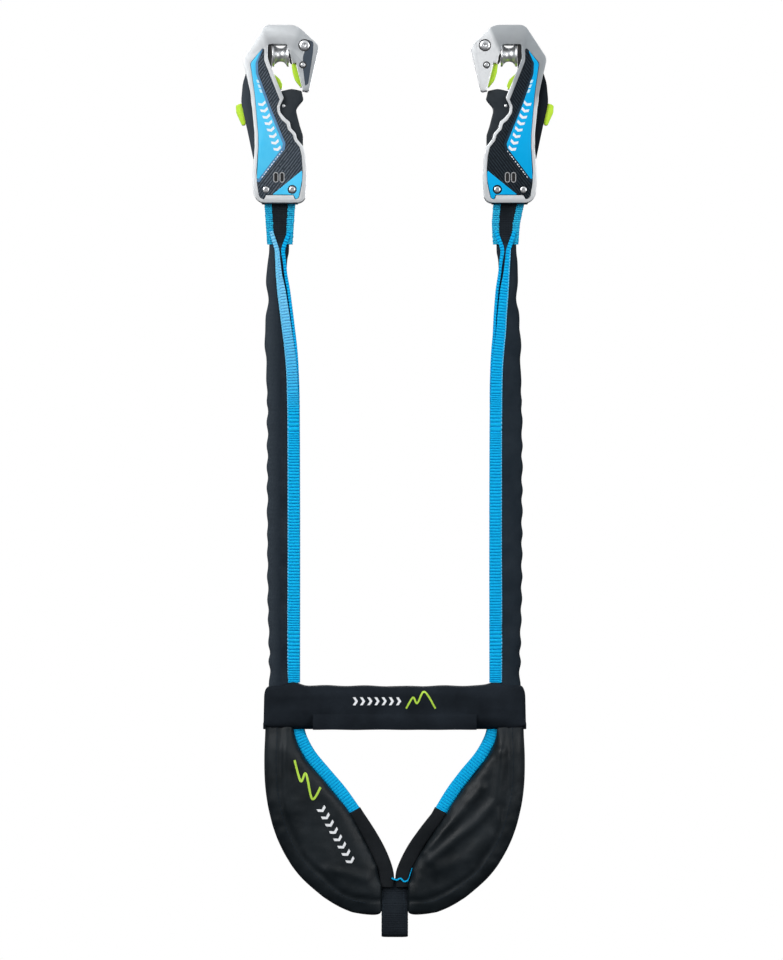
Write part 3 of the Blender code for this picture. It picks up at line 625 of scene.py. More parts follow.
def woven(name, dark, light, pitch, depth, patch=25.0, lit_edge=None, rough=(0.7, 0.9), specular=0.08):
    """Plain-woven cloth: crossing threads of that pitch, with soft patches of wear.

    lit_edge is the |x| where the painted sheen starts and where it is palest.
    """
    surface = Surface(name, dark, rough[1], specular=specular)
    warp = surface.waves(surface.along(1.0, 1.0, 0.0), pitch)
    weft = surface.waves(surface.along(0.0, 0.0, 1.0), pitch)
    threads = surface.maths("MAXIMUM", warp, weft)
    patches = surface.ramp(surface.noise(patch), 0.3, 0.7)
    if lit_edge:
        # Painted sheen: the cloth paler towards its outer edge.
        lit = surface.ramp(surface.along(1.0, 0.0, 0.0), *lit_edge)
        patches = surface.maths("MAXIMUM", surface.maths("MULTIPLY", patches, 0.35), lit)
    fibres = surface.noise(pitch * 0.6, 2.0)
    mixed = surface.maths("MULTIPLY", threads, surface.maths("ADD", fibres, 0.35))
    surface.colours(surface.maths("MULTIPLY", mixed, patches), dark, light)
    surface.rough(patches, *rough)
    surface.bump(surface.maths("ADD", threads, fibres), depth, 0.8)
    return surface.material


def ribbed_webbing(name, deep, bright, ribs=0.5, speckle=0.35, sheen_heights=None):
    """Blue tape: painted shade in the grooves between its ribs, speckled fibres, and a paler stretch of
    painted sheen.

    sheen_heights is the height where the painted sheen starts and where it is palest.
    """
    surface = Surface(name, deep, 0.8, specular=0.08)
    fibres = surface.ramp(surface.noise(1.3, 3.0), 0.3, 0.7)
    # Painted shade: the grooves between the ribs are darker in colour.
    rib = surface.ramp(surface.attribute("rib"), 0.1, 0.8)
    tone = surface.maths("MULTIPLY", fibres, speckle)
    tone = surface.maths("ADD", tone, surface.maths("MULTIPLY", rib, ribs))
    tone = surface.maths("ADD", tone, 0.85 - speckle - ribs)
    colour = surface.colours(surface.ramp(tone, 0.0, 1.0), deep, bright)
    # Painted sheen: the tape is paler towards the top.
    if sheen_heights:
        sheen_mask = surface.ramp(surface.along(0.0, 0.0, 1.0), *sheen_heights)
        surface.colours(surface.maths("MULTIPLY", sheen_mask, 0.8), colour, (0.24, 0.66, 0.94))
    threads = surface.waves(surface.along(1.0, 1.0, 0.0), 0.9)
    surface.bump(surface.maths("ADD", threads, fibres), 0.18, 0.8)
    return surface.material


def pair(maker, name, left, right):
    """The left half's and the right half's version of a material."""
    return {LEFT: maker(f"{name}_left", *left), RIGHT: maker(f"{name}_right", *right)}


def moulded(name, dark, light, specular):
    """Black moulded plastic with a fine spark-eroded grain."""
    return mottled(name, dark, light, 12.0, 0.48, (0.4, 4.0, 0.08, 0.7), specular=specular)


def lacquer(name, deep, pale, specular):
    """The panels' sky blue lacquer, a little deeper in patches."""
    return mottled(name, deep, pale, 14.0, 0.34, (0.8, 3.0, 0.02, 0.4), specular=specular)


def edge_shade_lacquer(name, deep, pale):
    """A darker band of painted shade down the long panel's right side."""
    return mottled(name, deep, pale, 5.0, 0.38, None, specular=0.2)


# The two halves' alloy differs only in painted shade and painted highlight on its facets.
SATIN_PAINTED_SHADE = pair(satin_alloy, "satin_alloy", (0.33, 0.49, 0.72, 0.76), (0.97, 0.25, 0.14, 0.70))
CHROME = polished_steel()
STEEL = bright_steel()
GATE_BLACK = black_alloy()
# The left half's black plastic is paler and shinier as painted sheen, the right half's darker as painted
# shade.
MOULDED_LIT_AND_SHADED = pair(
    moulded,
    "moulded",
    ((0.028, 0.040, 0.053), (0.042, 0.055, 0.070), 0.2),
    ((0.005, 0.008, 0.012), (0.010, 0.014, 0.019), 0.08),
)
# The left covers are paler and shinier as painted sheen, the right ones near black as painted shade. The
# hatch lines are the covers' own pattern.
HATCHED_LIT_AND_SHADED = pair(
    hatched_black,
    "hatched",
    ((0.014, 0.021, 0.031), (0.092, 0.116, 0.144), 0.22),
    ((0.004, 0.007, 0.011), (0.024, 0.034, 0.043), 0.08),
)
# The left nose inlay is painted dark slate as a painted reflection of dark surroundings; the right one takes
# the bright alloy.
SLATE_PAINTED_REFLECTION = mottled("nose_dark_reflection", (0.030, 0.044, 0.062), (0.046, 0.066, 0.094), 8.0, 0.42, FINE_GRAIN)
NOSE_INLAY_REFLECTION = {LEFT: SLATE_PAINTED_REFLECTION, RIGHT: SATIN_PAINTED_SHADE[RIGHT]}
# The left panels are paler blue as painted sheen, the right panels deeper as painted shade.
BLUE_LIT_AND_SHADED = pair(
    lacquer,
    "blue_lacquer",
    ((0.045, 0.54, 0.90), (0.11, 0.63, 0.95), 0.3),
    ((0.0, 0.37, 0.75), (0.006, 0.43, 0.82), 0.08),
)
# The darker band down the panel's right side is painted shade: blue-grey on the left half, near black on the
# right.
PANEL_EDGE_SHADE = pair(
    edge_shade_lacquer,
    "border",
    ((0.08, 0.21, 0.38), (0.14, 0.29, 0.48)),
    ((0.008, 0.020, 0.034), (0.014, 0.034, 0.056)),
)
LIME = mottled(
    "lime_plastic", (0.44, 0.74, 0.02), (0.56, 0.85, 0.045), 3.0, 0.42, (0.5, 3.0, 0.05, 0.6), subsurface=0.1
)
WHITE_INK = print_ink("white_ink", (0.90, 0.92, 0.94))
PALE_BLUE_INK = print_ink("pale_blue_ink", (0.60, 0.85, 0.95))
LIME_INK = print_ink("lime_ink", (0.50, 0.78, 0.06))
# The sleeves are lit and shaded copies: the left paler, with a painted sheen along its outer edge, the right
# darker.
SLEEVE_CLOTH_LIT_AND_SHADED = pair(
    woven,
    "sleeve",
    ((0.010, 0.016, 0.024), (0.060, 0.076, 0.092), 1.2, 0.14, 18.0, (108.0, 122.0)),
    ((0.012, 0.019, 0.027), (0.026, 0.035, 0.045), 1.2, 0.14, 18.0),
)
BAND_CLOTH = woven("band_cloth", (0.007, 0.010, 0.014), (0.020, 0.026, 0.034), 1.1, 0.12)
COVER_CLOTH = woven("cover_cloth", (0.008, 0.010, 0.012), (0.022, 0.025, 0.028), 1.1, 0.12)
POUCH_CLOTH = woven(
    "pouch_cloth", (0.005, 0.008, 0.010), (0.015, 0.021, 0.026), 0.9, 0.05, rough=(0.40, 0.55), specular=0.22
)
WEBBING_BLACK = woven("webbing_black", (0.007, 0.010, 0.014), (0.024, 0.031, 0.039), 1.6, 0.25)
# Black that is painted shade: in the gear slots' floors, round the nose pins and beside the roller.
SHADE_BLACK = print_ink("painted_shade_black", (0.004, 0.004, 0.005))
BLUE_TAPE = ribbed_webbing("blue_tape", (0.0, 0.22, 0.60), (0.006, 0.60, 1.0))
SHEEN_PAINTED_TAPE = ribbed_webbing("sheen_painted_tape", (0.0, 0.22, 0.60), (0.006, 0.62, 1.0), sheen_heights=(-330.0, -215.0))
SEWN_EDGE = ribbed_webbing("sewn_edge", (0.0, 0.14, 0.46), (0.05, 0.80, 1.0), 0.15, 0.75)
PALE_EDGE_AND_HIGHLIGHT = ribbed_webbing("selvedge_and_highlight", (0.05, 0.45, 0.82), (0.22, 0.68, 0.96), 0.1, 0.3)


# The carabiner's outlines, in its own x and z


def frame_outline():
    """The forged body: arch, nose, throat, the wavy edge beside the gate, base and spine."""
    nose = [
        (-15.5, 40.7, 9), (15.0, 40.6, 16), (36.8, 20.5, 7), (26.6, -23.4, 2.5),
        (20.4, -22.3, 0.6), (20.6, -19.5, 2), (14.8, 3.9, 0.5), (11.6, 4.0, 0.6), (5.6, 22.0, 2),
    ]
    throat = [(-12.2, 22.0, 2), (-12.6, 8.0, 8)]
    wave = [
        (2.9, -29.5, 2.5), (-1.0, -37.5, 5), (-0.4, -43.5, 6), (4.0, -48.6, 5), (8.6, -52.4, 3.5),
        (9.8, -58.4, 3.5), (14.2, -63.2, 3.5), (15.8, -69.0, 3.5), (21.6, -76.0, 5),
        (23.4, -84.0, 10), (24.9, -104.0, 40),
    ]
    base = [(23.4, FRAME_BOTTOM, 8), (-25.6, FRAME_BOTTOM, 11)]
    spine = [(-27.2, -106.0, 50), (-24.6, -70.0, 80), (-28.8, -26.0, 60), (-36.7, 8.5, 9)]
    return rounded(nose + throat + wave + base + spine)


def cover_outline():
    """The inlay that fills the front or the back, inside a narrow rim."""
    upper = [
        (-15.6, 20.6, 1.5), (-15.9, 6.6, 8), (-0.9, -31.0, 2.0), (-3.6, -37.5, 5),
        (-3.0, -43.8, 6), (1.2, -50.6, 5), (5.6, -54.2, 3), (6.8, -59.4, 3), (11.6, -64.6, 3),
        (13.2, -70.4, 3), (18.2, -76.6, 5), (20.2, -85.0, 10),
    ]
    lower = [
        (21.6, -106.0, 40), (17.4, -126.4, 4), (13.4, -126.8, 1), (11.8, -122.8, 1),
        (-14.0, -122.8, 1), (-16.0, -126.8, 1), (-20.6, -125.6, 5), (-23.8, -106.0, 50),
        (-21.4, -70.0, 80), (-25.3, -26.0, 60), (-29.6, 4.0, 5),
    ]
    return rounded(upper + lower)


def panel_outline():
    """The long blue panel that follows the spine and narrows to a point at both ends."""
    return rounded([
        (-16.2, 19.4, 0.5), (-21.6, 5.0, 6), (-21.4, -6.0, 10), (-9.0, -39.5, 40), (4.8, -73.0, 3),
        (4.0, -78.8, 3), (-20.6, -110.6, 1.0), (-23.2, -109.6, 1.0), (-21.3, -70.0, 80),
        (-25.1, -26.0, 60), (-29.4, 3.8, 5),
    ])


def panel_face_outline():
    """The lighter blue inside the panel's darker band of painted shade, which runs down its right side."""
    return rounded([
        (-18.2, 17.4, 0.4), (-24.2, 3.8, 5), (-23.8, -6.4, 9), (-11.8, -39.8, 40), (2.0, -73.4, 2),
        (1.2, -77.6, 2), (-21.2, -107.2, 0.8), (-22.9, -106.6, 0.8), (-21.0, -70.0, 80),
        (-24.8, -26.0, 60), (-29.0, 3.6, 5),
    ])


def corner_panel_outline():
    """The small blue panel at the lower right, round the inner screw."""
    return rounded([
        (20.4, -98.9, 0.6), (20.9, -106.0, 20), (16.8, -126.0, 3), (13.9, -126.2, 0.6),
        (12.4, -122.2, 0.8), (-8.2, -122.2, 0.3),
    ])


def gate_outline():
    """The scalloped gate, from its flat top to the knuckle round its pin."""
    blade = [
        (0.2, -22.6, 1.0), (10.4, -20.2, 12.0), (19.8, -22.4, 1.0), (21.8, -30.6, 3.0),
        (14.2, -40.0, 7.0), (18.4, -56.5, 12.0), (21.2, -65.0, 8.0), (21.2, -80.0, 8.0),
    ]
    inside = [(0.4, -58.0, 20.0), (-2.6, -45.0, 6.0), (-2.6, -37.0, 6.0)]
    return rounded(blade + arc(GATE_PIN, 7.2, 0, -180) + inside)


def lever_outline():
    """The palm lever: thin at the top, full where the palm bears, and a knuckle at the bottom."""
    palm = [
        (-33.4, -5.0, 0.7), (-30.8, -4.8, 0.7), (-28.7, -34.0, 30.0), (-22.8, -62.0, 30.0),
        (-17.6, -84.0, 10.0),
    ]
    outer = [(-26.4, -88.0, 20.0), (-31.4, -64.0, 40.0), (-38.2, -33.0, 22.0), (-36.6, -15.0, 20.0)]
    return rounded(palm + arc(LEVER_PIN, 4.8, 0, -180) + outer)


def button_outline():
    """The thumb button."""
    return rounded([
        (-33.6, -36.5, 0.5), (-38.4, -34.4, 1.0), (-43.4, -36.0, 2.5), (-42.9, -43.5, 6.0),
        (-37.4, -55.6, 2.0), (-34.4, -55.0, 1.0), (-33.0, -50.0, 0.5),
    ])


def catch_outline():
    """The catch in the throat."""
    return rounded([
        (-13.0, -7.5, 0.6), (-7.6, -5.2, 1.0), (-1.0, -11.0, 6.0), (1.6, -16.5, 4.0),
        (0.7, -20.6, 0.6), (-5.0, -21.6, 0.6), (-13.0, -18.0, 0.6),
    ])


def guide_outline():
    """The wear strip on the inner side of the nose."""
    return rounded([
        (10.2, 3.5, 0.8), (14.3, 3.5, 0.4), (20.1, -18.8, 0.6), (18.6, -18.6, 1.0),
        (13.4, -12.0, 6.0), (11.2, -5.0, 8.0),
    ])


def nose_inlay_outline():
    """The inlay on the outer side of the nose, painted dark slate on the left half as a painted reflection.
    """
    return rounded([
        (26.0, 26.4, 1.0), (31.4, 24.4, 3.0), (31.0, 14.0, 8.0), (26.4, -15.6, 1.0),
        (23.4, -18.6, 0.8), (21.0, 0.0, 6.0), (21.2, 10.0, 2.0),
    ])


# The carabiner's pieces


class Half:
    """The left or the right half of the set, and what all its pieces have in common."""

    def __init__(self, name, side):
        self.name = name
        self.side = side

    def piece(self, label, shape, material=None, shift=0.0):
        """A piece of this half, in this half's own version of the material."""
        own = material[self.side] if isinstance(material, dict) else material
        return make(f"{self.name}_{label}", shape, own, self.side, shift)

    def solid(self, label, shape, material=None):
        """A piece of the carabiner, placed by the carabiner's own x."""
        return self.piece(label, shape, material, -HALF_SPACING)

    def soft_slab(self, label, outline, half_depth, material, radius):
        """A thick slab of the carabiner with rounded edges."""
        return bevel(self.solid(label, slab(outline, half_depth), material), radius, 4)

    def cut(self, obj, shapes):
        """Takes labelled shapes out of a piece of the carabiner."""
        return carve(obj, [self.solid(f"cut_{label}", shape) for label, shape in shapes.items()])

    def settle(self, obj, body, slot, *labels):
        """Settles the piece on one of this half's bodies, for this half's nodes."""
        return settle(obj, f"{self.name}_{body}", slot, *self.nodes(labels))

    def fix(self, obj, slot, *labels):
        """Settles the piece on the carabiner's forged body."""
        return self.settle(obj, "carabiner", slot, *labels)

    def sew(self, obj, slot, *labels):
        """Settles the piece on the lanyard."""
        return settle(obj, "lanyard", slot, *self.nodes(labels))

    def nodes(self, labels):
        """The names of this half's nodes."""
        return [f"{self.name}_{label}" for label in labels]


def frame_cuts():
    """Everything that is cut out of the forged body, by label."""
    beyond = FRAME_HALF_DEPTH + 3
    floor = FRAME_HALF_DEPTH - COVER_THICKNESS - GAP
    channel = [(-50, -2), (-3, -2), (8, -16), (16, -23.5), (50, -23.7), (50, -99.5), (-50, -99.5)]
    shapes = {
        "channel": slab(channel, 7.2),
        "slot": block((-19.2, -8.5, FRAME_BOTTOM - 5), (17.0, 8.5, -104.0)),
        "front_pocket": prism(cover_outline(), -beyond, -floor),
        "back_pocket": prism(cover_outline(), floor, beyond),
        "roller_room": shaft((ROLLER_X, 0, ROLLER_Z), "x", 8.8, FLANGE_RADIUS + 0.8, 64),
        "inlay_front": prism(nose_inlay_outline(), -beyond, -FRAME_HALF_DEPTH + 0.7),
        "inlay_back": prism(nose_inlay_outline(), FRAME_HALF_DEPTH - 0.7, beyond),
        "bar": shaft((5.25, 0, BAR_Z), "x", 28.05, 3.8),
        "axle": shaft((-2.0, 0, ROLLER_Z), "x", 18.3, 2.8),
    }
    for label, (x, z, radius) in NOSE_PINS.items():
        shapes[f"pin_{label}"] = shaft((x, 0, z), "y", beyond, radius + GAP)
        for face, y in {"front": -FRAME_HALF_DEPTH, "back": FRAME_HALF_DEPTH}.items():
            shapes[f"ring_{label}_{face}"] = shaft((x, y, z), "y", 1.3, radius + PIN_RING)
    return shapes


def make_frame(half):
    """The forged body and the inlays in its nose, which carry a painted dark reflection on the left half and
    the bright alloy on the right.
    """
    forged = half.soft_slab("forged_body", frame_outline(), FRAME_HALF_DEPTH, SATIN_PAINTED_SHADE, 2.0)
    half.fix(half.cut(forged, frame_cuts()), "satin_alloy", "frame")
    outline = inset(nose_inlay_outline(), 0.1)
    for face, low in {"front": -FRAME_HALF_DEPTH + 0.15, "back": FRAME_HALF_DEPTH - 0.65}.items():
        inlay = half.solid(f"nose_inlay_{face}", prism(outline, low, low + 0.5), NOSE_INLAY_REFLECTION)
        holes = {}
        for label, (x, z, radius) in NOSE_PINS.items():
            holes[f"inlay_{label}"] = shaft((x, low, z), "y", 3.0, radius + PIN_RING)
        half.fix(half.cut(inlay, holes), "black_plastic")


def slot_outline(x):
    """A gear slot in the front cover."""
    left = x - 1.6
    right = x + 1.6
    return rounded([(left, -101.4, 1.5), (right, -101.4, 1.5), (right, -109.8, 1.5), (left, -109.8, 1.5)])


def make_covers(half):
    """The two covers. The front one has screw holes, gear slots and the panel's pocket."""
    top = FRAME_HALF_DEPTH
    under = top - COVER_THICKNESS
    outline = inset(cover_outline(), 0.25)
    front = bevel(half.solid("front_inlay", prism(outline, -top, -under), HATCHED_LIT_AND_SHADED), 0.35, 2)
    holes = {}
    for label, (x, z) in SCREWS.items():
        holes[f"head_{label}"] = shaft((x, -top, z), "y", 4.0, 3.9)
    for label, x in GEAR_SLOTS.items():
        slot = slot_outline(x)
        holes[f"slot_{label}"] = prism(slot, -top - 1, -under + 1)
        # A black floor in each gear slot is painted shade inside it.
        floor = prism(inset(slot, 0.05), -top + 1.0, -under - 0.1)
        half.fix(half.solid(f"slot_floor_{label}", floor, SHADE_BLACK), "black_plastic")
        collar = prism(inset(slot, -0.8), -top - 0.15, -top + 0.5)
        collar = half.solid(f"slot_collar_{label}", collar, STEEL)
        half.fix(half.cut(collar, {"mouth": prism(slot, -top - 1, -top + 1)}), "black_plastic")
    holes["panel"] = prism(panel_outline(), -top - 1, -top + 0.8)
    half.fix(half.cut(front, holes), "black_plastic", "front_cover")
    back = bevel(half.solid("back_inlay", prism(outline, under, top), HATCHED_LIT_AND_SHADED), 0.35, 2)
    half.fix(back, "black_plastic", "back_cover")


def make_panels(half):
    """The long panel with its band of painted shade, the corner panel, and their printed marks."""
    top = -FRAME_HALF_DEPTH
    # A darker band of painted shade down the panel's right side.
    border = prism(inset(panel_outline(), 0.2), top - 0.1, top + 0.7)
    border = bevel(half.solid("panel_edge_shade", border, PANEL_EDGE_SHADE), 0.15, 1)
    half.fix(border, "blue_plastic", "blue_panel")
    face = prism(panel_face_outline(), top - PANEL_PROUD, top + 0.2)
    half.fix(bevel(half.solid("panel_face", face, BLUE_LIT_AND_SHADED), 0.25, 2), "blue_plastic")
    corner = prism(corner_panel_outline(), top - 0.25, top + 0.3)
    corner = bevel(half.solid("corner_panel", corner, BLUE_LIT_AND_SHADED), 0.15, 2)
    x, z = SCREWS["inner"]
    half.fix(half.cut(corner, {"corner": shaft((x, top, z), "y", 3.0, 4.4)}), "blue_plastic")
    half.fix(half.solid("panel_marks", panel_marks(), WHITE_INK), "blue_plastic")
    half.fix(half.solid("panel_dashes", panel_dashes(), PALE_BLUE_INK), "blue_plastic")
    half.fix(half.solid("panel_ticks", panel_ticks(), WHITE_INK), "blue_plastic")


def chevrons(start, end, count, length, height, thickness, front, back):
    """A row of bent bars from start to end, each a flat solid that points along the row."""
    start = Vector(start)
    step = (Vector(end) - start) / (count - 1)
    along = step.normalized()
    across = Vector((-along.y, along.x))
    upper = [(0.0, height / 2), (length, 0.0), (0.0, -height / 2)]
    spots = upper + [(forward + thickness, up) for forward, up in reversed(upper)]
    shapes = []
    for k in range(count):
        outline = []
        for forward, up in spots:
            spot = start + step * k + along * (forward - length / 2) + across * up
            outline.append((spot.x, spot.y))
        shapes.append(prism(outline, front, back))
    return joined(shapes)


def panel_marks():
    """A row of white chevrons down the long panel."""
    back = PRINT_FRONT + PRINT_DEPTH
    return chevrons((-18.2, -34.0), (-3.6, -77.0), 8, 1.8, 7.2, 2.6, PRINT_FRONT, back)


def panel_dashes():
    """Three pale dashes near the top of the long panel."""
    shapes = []
    for k in range(3):
        x = -23.6 + 1.35 * k
        z = -12.0 - 4.6 * k
        outline = [(x, z), (x + 2.2, z - 0.3), (x + 3.4, z - 3.4), (x + 1.2, z - 3.2)]
        shapes.append(prism(outline, PRINT_FRONT, PRINT_FRONT + PRINT_DEPTH))
    return joined(shapes)


def panel_ticks():
    """Small ticks of uneven length along the long panel's lower edge, in place of fine print."""
    count = 11
    start = Vector((1.2, -80.4))
    step = (Vector((-19.0, -107.0)) - start) / count
    shapes = []
    for k in range(count):
        near = start + step * k
        length = 1.0 + 0.5 * (k % 3)
        shapes.append(bar(near, step.normalized(), length, 0.8, PRINT_FRONT, PRINT_FRONT + 0.8))
    return joined(shapes)


def domed(dome, x, z):
    """A pin through the middle plane at x and z, with the same dome on both ends."""
    profile = [(-y, radius) for y, radius in dome] + [(y, radius) for y, radius in reversed(dome)]
    return turned(profile, (x, 0, z), "y")


def knuckle_cuts(pin, bore, seat):
    """The bore for a hinge pin, and the seat for its spring at the back."""
    x, z = pin
    return {"bore": shaft((x, 0.0, z), "y", 12.0, bore), "seat": shaft((x, 6.4, z), "y", 5.0, seat)}


def make_gate(half):
    """The gate, and the domed rivet near its top."""
    gate = half.soft_slab("gate_blade", gate_outline(), GATE_HALF_DEPTH, GATE_BLACK, 1.6)
    half.settle(half.cut(gate, knuckle_cuts(GATE_PIN, 2.5, 11.2)), "gate", "black_alloy", "gate")
    reach = GATE_HALF_DEPTH + 0.35
    dome = [(reach, 0.5), (reach - 0.1, 1.0), (reach - 0.4, 1.5), (reach - 1.2, 1.7)]
    rivet = bake(half.solid("gate_rivet_head", domed(dome, *RIVET), STEEL))
    half.settle(rivet, "gate", "bright_steel", "gate_rivet")


def make_lever(half):
    """The palm lever, with a pocket for the thumb button."""
    lever = half.soft_slab("palm_grip", lever_outline(), LEVER_HALF_DEPTH, MOULDED_LIT_AND_SHADED, 1.5)
    room = BUTTON_HALF_DEPTH + 0.4
    cuts = knuckle_cuts(LEVER_PIN, 2.1, 8.8)
    cuts["pocket"] = block((-60, -room, -57.0), (-30.4, room, -33.4))
    half.settle(half.cut(lever, cuts), "palm_lever", "black_plastic", "palm_lever")


def make_lime_parts(half):
    """The thumb button, and the catch and the guide that face each other across the throat."""
    parts = {
        "thumb_button": (button_outline(), BUTTON_HALF_DEPTH, 1.1, "release_button", "release_button"),
        "catch_tooth": (catch_outline(), CATCH_HALF_DEPTH, 0.9, "lock_catch", "lock_catch"),
        "guide_strip": (guide_outline(), GUIDE_HALF_DEPTH, 0.7, "carabiner", "nose_guide"),
    }
    for label, (outline, half_depth, radius, body, node) in parts.items():
        part = half.soft_slab(label, outline, half_depth, LIME, radius)
        half.settle(part, body, "lime_plastic", node)


def roller_profile():
    """The roller's section: bore, flanges with soft edges, and a groove that fits the cable."""
    end = ROLLER_HALF_WIDTH
    soft = 0.7
    steps = 16
    widest = math.asin(CABLE_RADIUS / GROOVE_RADIUS)
    flange = [(0.0, ROLLER_BORE), (0.0, FLANGE_RADIUS - soft), (0.25, FLANGE_RADIUS - 0.2)]
    flange.append((soft, FLANGE_RADIUS))
    groove = []
    for k in range(steps + 1):
        angle = widest * (2 * k / steps - 1)
        radius = min(FLANGE_RADIUS - 0.05, GROOVE_FLOOR + GROOVE_RADIUS * (1 - math.cos(angle)))
        groove.append((GROOVE_RADIUS * math.sin(angle), radius))
    left = [(inward - end, radius) for inward, radius in flange]
    right = [(end - inward, radius) for inward, radius in reversed(flange)]
    return left + groove + right


def make_roller(half):
    """The cable roller."""
    shape = turned(roller_profile(), (ROLLER_X, 0.0, ROLLER_Z), "x", 72, ring=True)
    roller = bake(half.solid("grooved_roller", shape, CHROME))
    half.settle(roller, "cable_roller", "polished_steel", "cable_roller")


def make_nose_pins(half):
    """Domed nose pins with a dimple, each in a dark ring of painted shadow."""
    reach = FRAME_HALF_DEPTH + 0.25
    for label, (x, z, radius) in NOSE_PINS.items():
        dimple = radius * 0.34
        dome = [
            (reach - 0.9, dimple * 0.55), (reach - 0.7, dimple * 0.9),
            (reach - 0.05, dimple * 1.1), (reach, radius * 0.62), (reach - 0.2, radius * 0.86),
            (reach - 0.6, radius),
        ]
        pin = bake(half.solid(f"nose_rivet_{label}", domed(dome, x, z), STEEL))
        half.fix(pin, "bright_steel", f"nose_pin_{label}")
        inner = radius + 0.15
        outer = radius + 1.0
        section = [(-0.5, inner), (-0.5, outer), (0.5, outer), (0.5, inner)]
        for face, y in {"front": -FRAME_HALF_DEPTH + 0.7, "back": FRAME_HALF_DEPTH - 0.7}.items():
            ring = turned(section, (x, y, z), "y", ring=True)
            ring = bake(half.solid(f"pin_shadow_{label}_{face}", ring, SHADE_BLACK))
            half.fix(ring, "black_plastic")


def make_screws(half):
    """The cover's button-head screws, each with a hexagon socket and a dark counterbore ring."""
    top = -FRAME_HALF_DEPTH - 0.2
    head = [(0, 0.1), (0, 2.2), (0.25, 2.8), (0.7, 3.1), (2.0, 3.1), (2.0, 1.5), (3.4, 1.5)]
    washer = [(0.15, 3.25), (0.15, 3.75), (0.4, 4.0), (1.6, 4.0), (1.6, 3.25)]
    for label, (x, z) in SCREWS.items():
        place = (x, top, z)
        screw = half.solid(f"screw_{label}", turned(head, place, "y"), STEEL)
        socket = turned([(-1.0, 1.5), (1.1, 1.5)], place, "y", 6)
        half.fix(half.cut(screw, {f"socket_{label}": socket}), "bright_steel", f"cover_screw_{label}")
        ring = half.solid(f"screw_ring_{label}", turned(washer, place, "y", ring=True), MOULDED_LIT_AND_SHADED)
        half.fix(bake(ring), "black_plastic")


def make_linings(half):
    """The bushing in the mouth of the webbing slot, and black plates beside the roller that are painted
    shade in the gaps there.
    """
    low = FRAME_BOTTOM - 0.9
    outline = rounded([(-18.6, low, 0.8), (-18.6, -128.8, 0), (16.4, -128.8, 0), (16.4, low, 0.8)])
    bushing = half.solid("slot_bushing", slab(outline, LINING_HALF_DEPTH), MOULDED_LIT_AND_SHADED)
    mouth = block((-17.4, -8.2, low - 1), (15.2, 8.2, -126.0))
    half.fix(half.cut(bushing, {"bushing": mouth}), "black_plastic")
    shade_plates = {
        "outer": [(-12.1, 22.2, 1.0), (-8.9, 22.2, 0), (-8.9, 1.0, 0.5), (-9.8, -1.0, 0.3), (-12.1, 7.6, 1)],
        "inner": [(8.0, 15.0, 0), (8.9, 12.2, 0), (10.8, 4.6, 0.3), (9.4, 4.2, 0.3), (8.0, 6.0, 0)],
    }
    # Black plates that are painted shade in the gaps beside the roller.
    for label, corners in shade_plates.items():
        shade_plate = half.solid(f"roller_cheek_{label}", slab(rounded(corners), LINING_HALF_DEPTH), SHADE_BLACK)
        half.fix(shade_plate, "black_plastic")


def finish_hidden_nodes(half):
    """Pins, springs, axle and bar keep their CAD shape and get real metal."""
    labels = ("gate_pin", "lever_pin", "gate_spring", "lever_spring", "roller_axle", "webbing_bar")
    for node in half.nodes(labels):
        materials = frame["nodes"][node].data.materials
        materials.clear()
        materials.append(STEEL)


# Straps and tapes


def smooth_route(stations, step):
    """Rows of numbers along a smooth curve through the stations, a step apart.

    A station is (x, y, z, width, half depth). The first three are its place.
    """
    rows = []
    last = len(stations) - 1
    for i in range(last):
        before = stations[max(0, i - 1)]
        here = stations[i]
        after = stations[i + 1]
        beyond = stations[min(last, i + 2)]
        length = (Vector(after[:3]) - Vector(here[:3])).length
        count = max(1, round(length / step))
        for k in range(count):
            t = k / count
            rows.append(tuple(catmull(b, h, a, y, t) for b, h, a, y in zip(before, here, after, beyond)))
    rows.append(tuple(stations[-1]))
    return rows


def catmull(before, here, after, beyond, t):
    """The Catmull-Rom curve through four neighbouring values."""
    return 0.5 * (
        2 * here
        + (after - before) * t
        + (2 * before - 5 * here + 4 * after - beyond) * t * t
        + (3 * here - before - 3 * after + beyond) * t * t * t
    )


def rib_height(ring):
    """1 on the crest of a rib and 0 in the groove beside it."""
    return min(1.0, 1.5 * abs(math.sin(math.pi * ring / RINGS_PER_RIB)))


def ribbed(obj, points):
    """Keeps every point's rib height on the mesh of a strap that has that many points a ring."""
    heights = obj.data.attributes.new("rib", "FLOAT", "POINT")
    for k, place in enumerate(heights.data):
        place.value = rib_height(k // points)
    return obj


